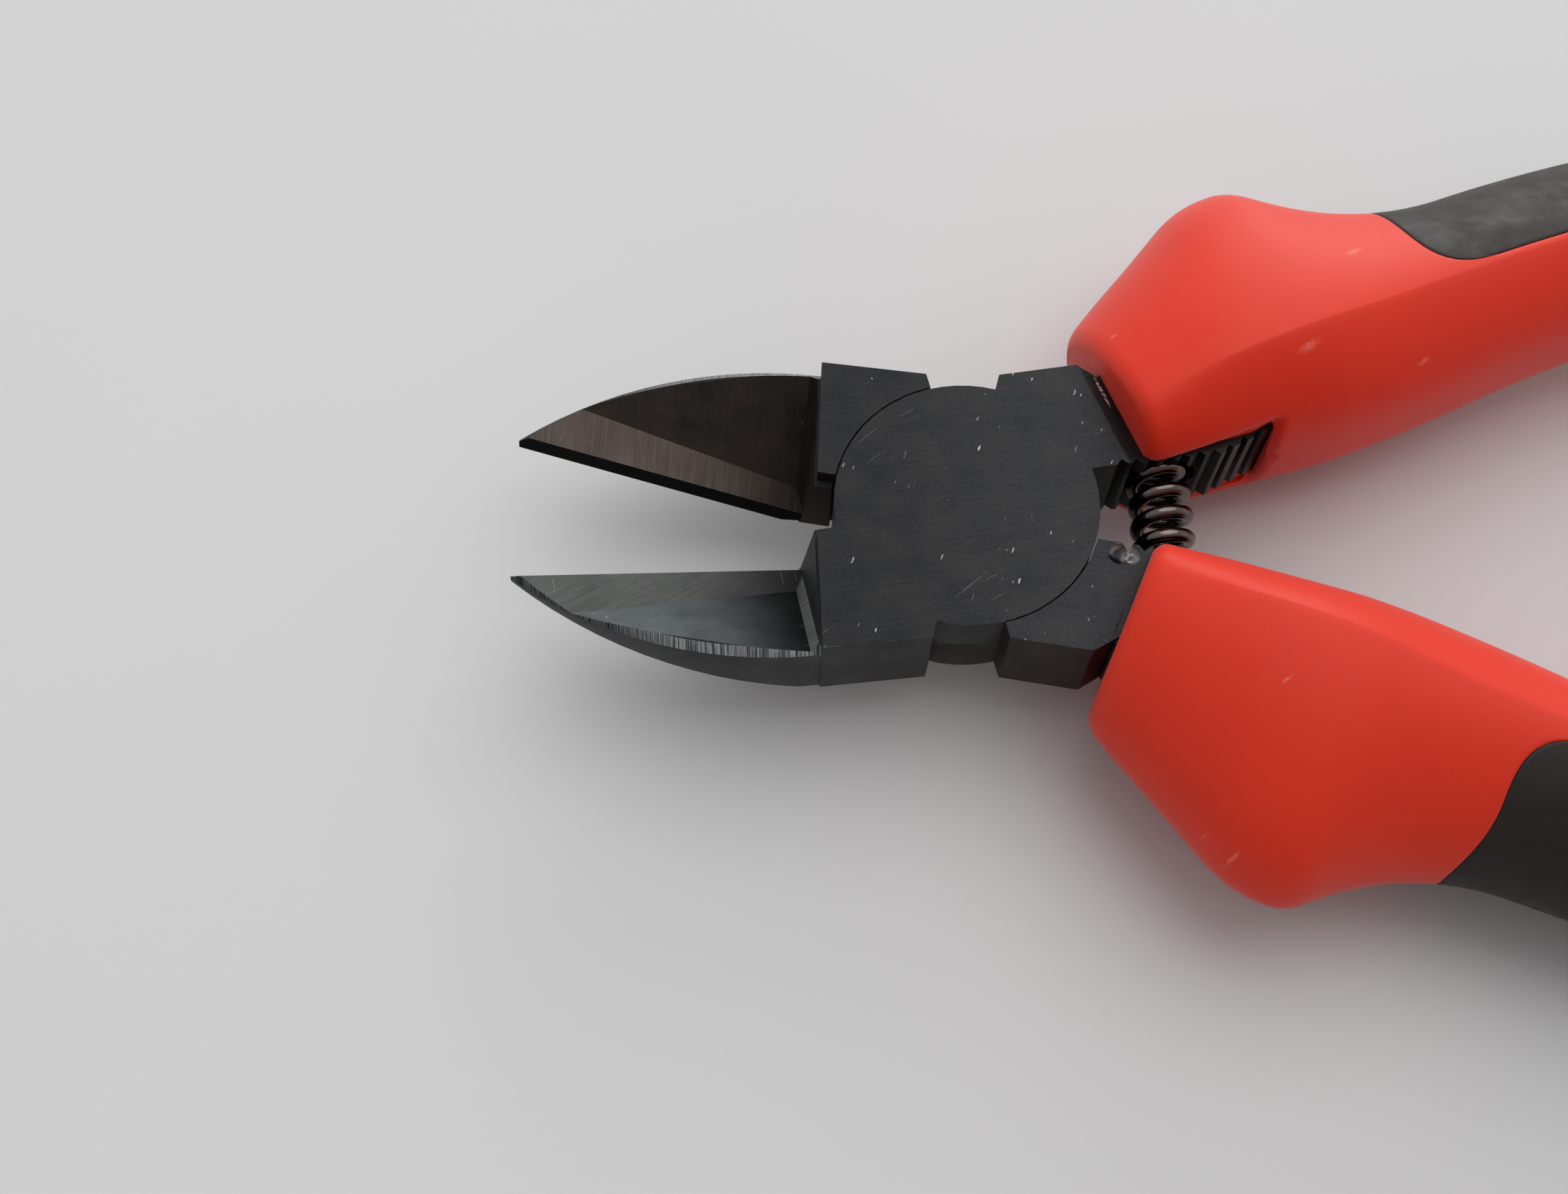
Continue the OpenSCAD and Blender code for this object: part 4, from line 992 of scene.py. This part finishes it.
colour = add(tree, "ShaderNodeMix", {0: faint, 6: melt.outputs[2], 7: linear("#f0a898")}, data_type="RGBA")
rough = add(tree, "ShaderNodeMapRange", {0: spark, 3: 0.4, 4: 0.52})
bump = add(tree, "ShaderNodeBump", {"Strength": 0.2, "Distance": 0.03 * MM, "Height": spark})
# The sheen is the thin bloom of dust that hazes a handled grip at shallow angles
plastic = add(tree, "ShaderNodeBsdfPrincipled", {"Base Color": colour.outputs[2], "Roughness": rough,
                                                 "IOR": 1.49, "Specular IOR Level": 0.25, "Sheen Weight": 0.1,
                                                 "Sheen Roughness": 0.5, "Normal": bump})
add(tree, "ShaderNodeOutputMaterial", {0: plastic})
for half in ("front", "back"):
    grips[half + "_sleeve"].data.materials.append(red)
print("red on both sleeves")

# %% [markdown]
# ## Grey rubber
#
# The insert is a thermoplastic rubber moulded over the hard part: matt charcoal with a slight
# bloom, and a grain left by the mould's etched surface.

# %% Grey rubber
grey, tree = new_material("moulded_rubber_charcoal")
where = add(tree, "ShaderNodeTexCoord").outputs["Object"]
bloom = add(tree, "ShaderNodeTexNoise", {"Vector": where, "Scale": 1 / (2.5 * MM), "Detail": 5.0,
                                         "Roughness": 0.65})
colour = add(tree, "ShaderNodeMix", {0: bloom, 6: linear("#15110e"), 7: linear("#2c2521")}, data_type="RGBA")
# Grain of the mould: about 0.15 mm, drawn at twice that so that it shows
etch = add(tree, "ShaderNodeTexNoise", {"Vector": where, "Scale": 1 / (0.3 * MM), "Detail": 3.0})
rough = add(tree, "ShaderNodeMapRange", {0: bloom, 1: 0.3, 2: 0.7, 3: 0.42, 4: 0.66})
bump = add(tree, "ShaderNodeBump", {"Strength": 0.4, "Distance": 0.05 * MM, "Height": etch})
rubber = add(tree, "ShaderNodeBsdfPrincipled", {"Base Color": colour.outputs[2], "Roughness": rough,
                                                "IOR": 1.5, "Specular IOR Level": 0.3, "Normal": bump})
add(tree, "ShaderNodeOutputMaterial", {0: rubber})
for half in ("front", "back"):
    grips[half + "_grip_insert"].data.materials.append(grey)
print("rubber on both inserts")
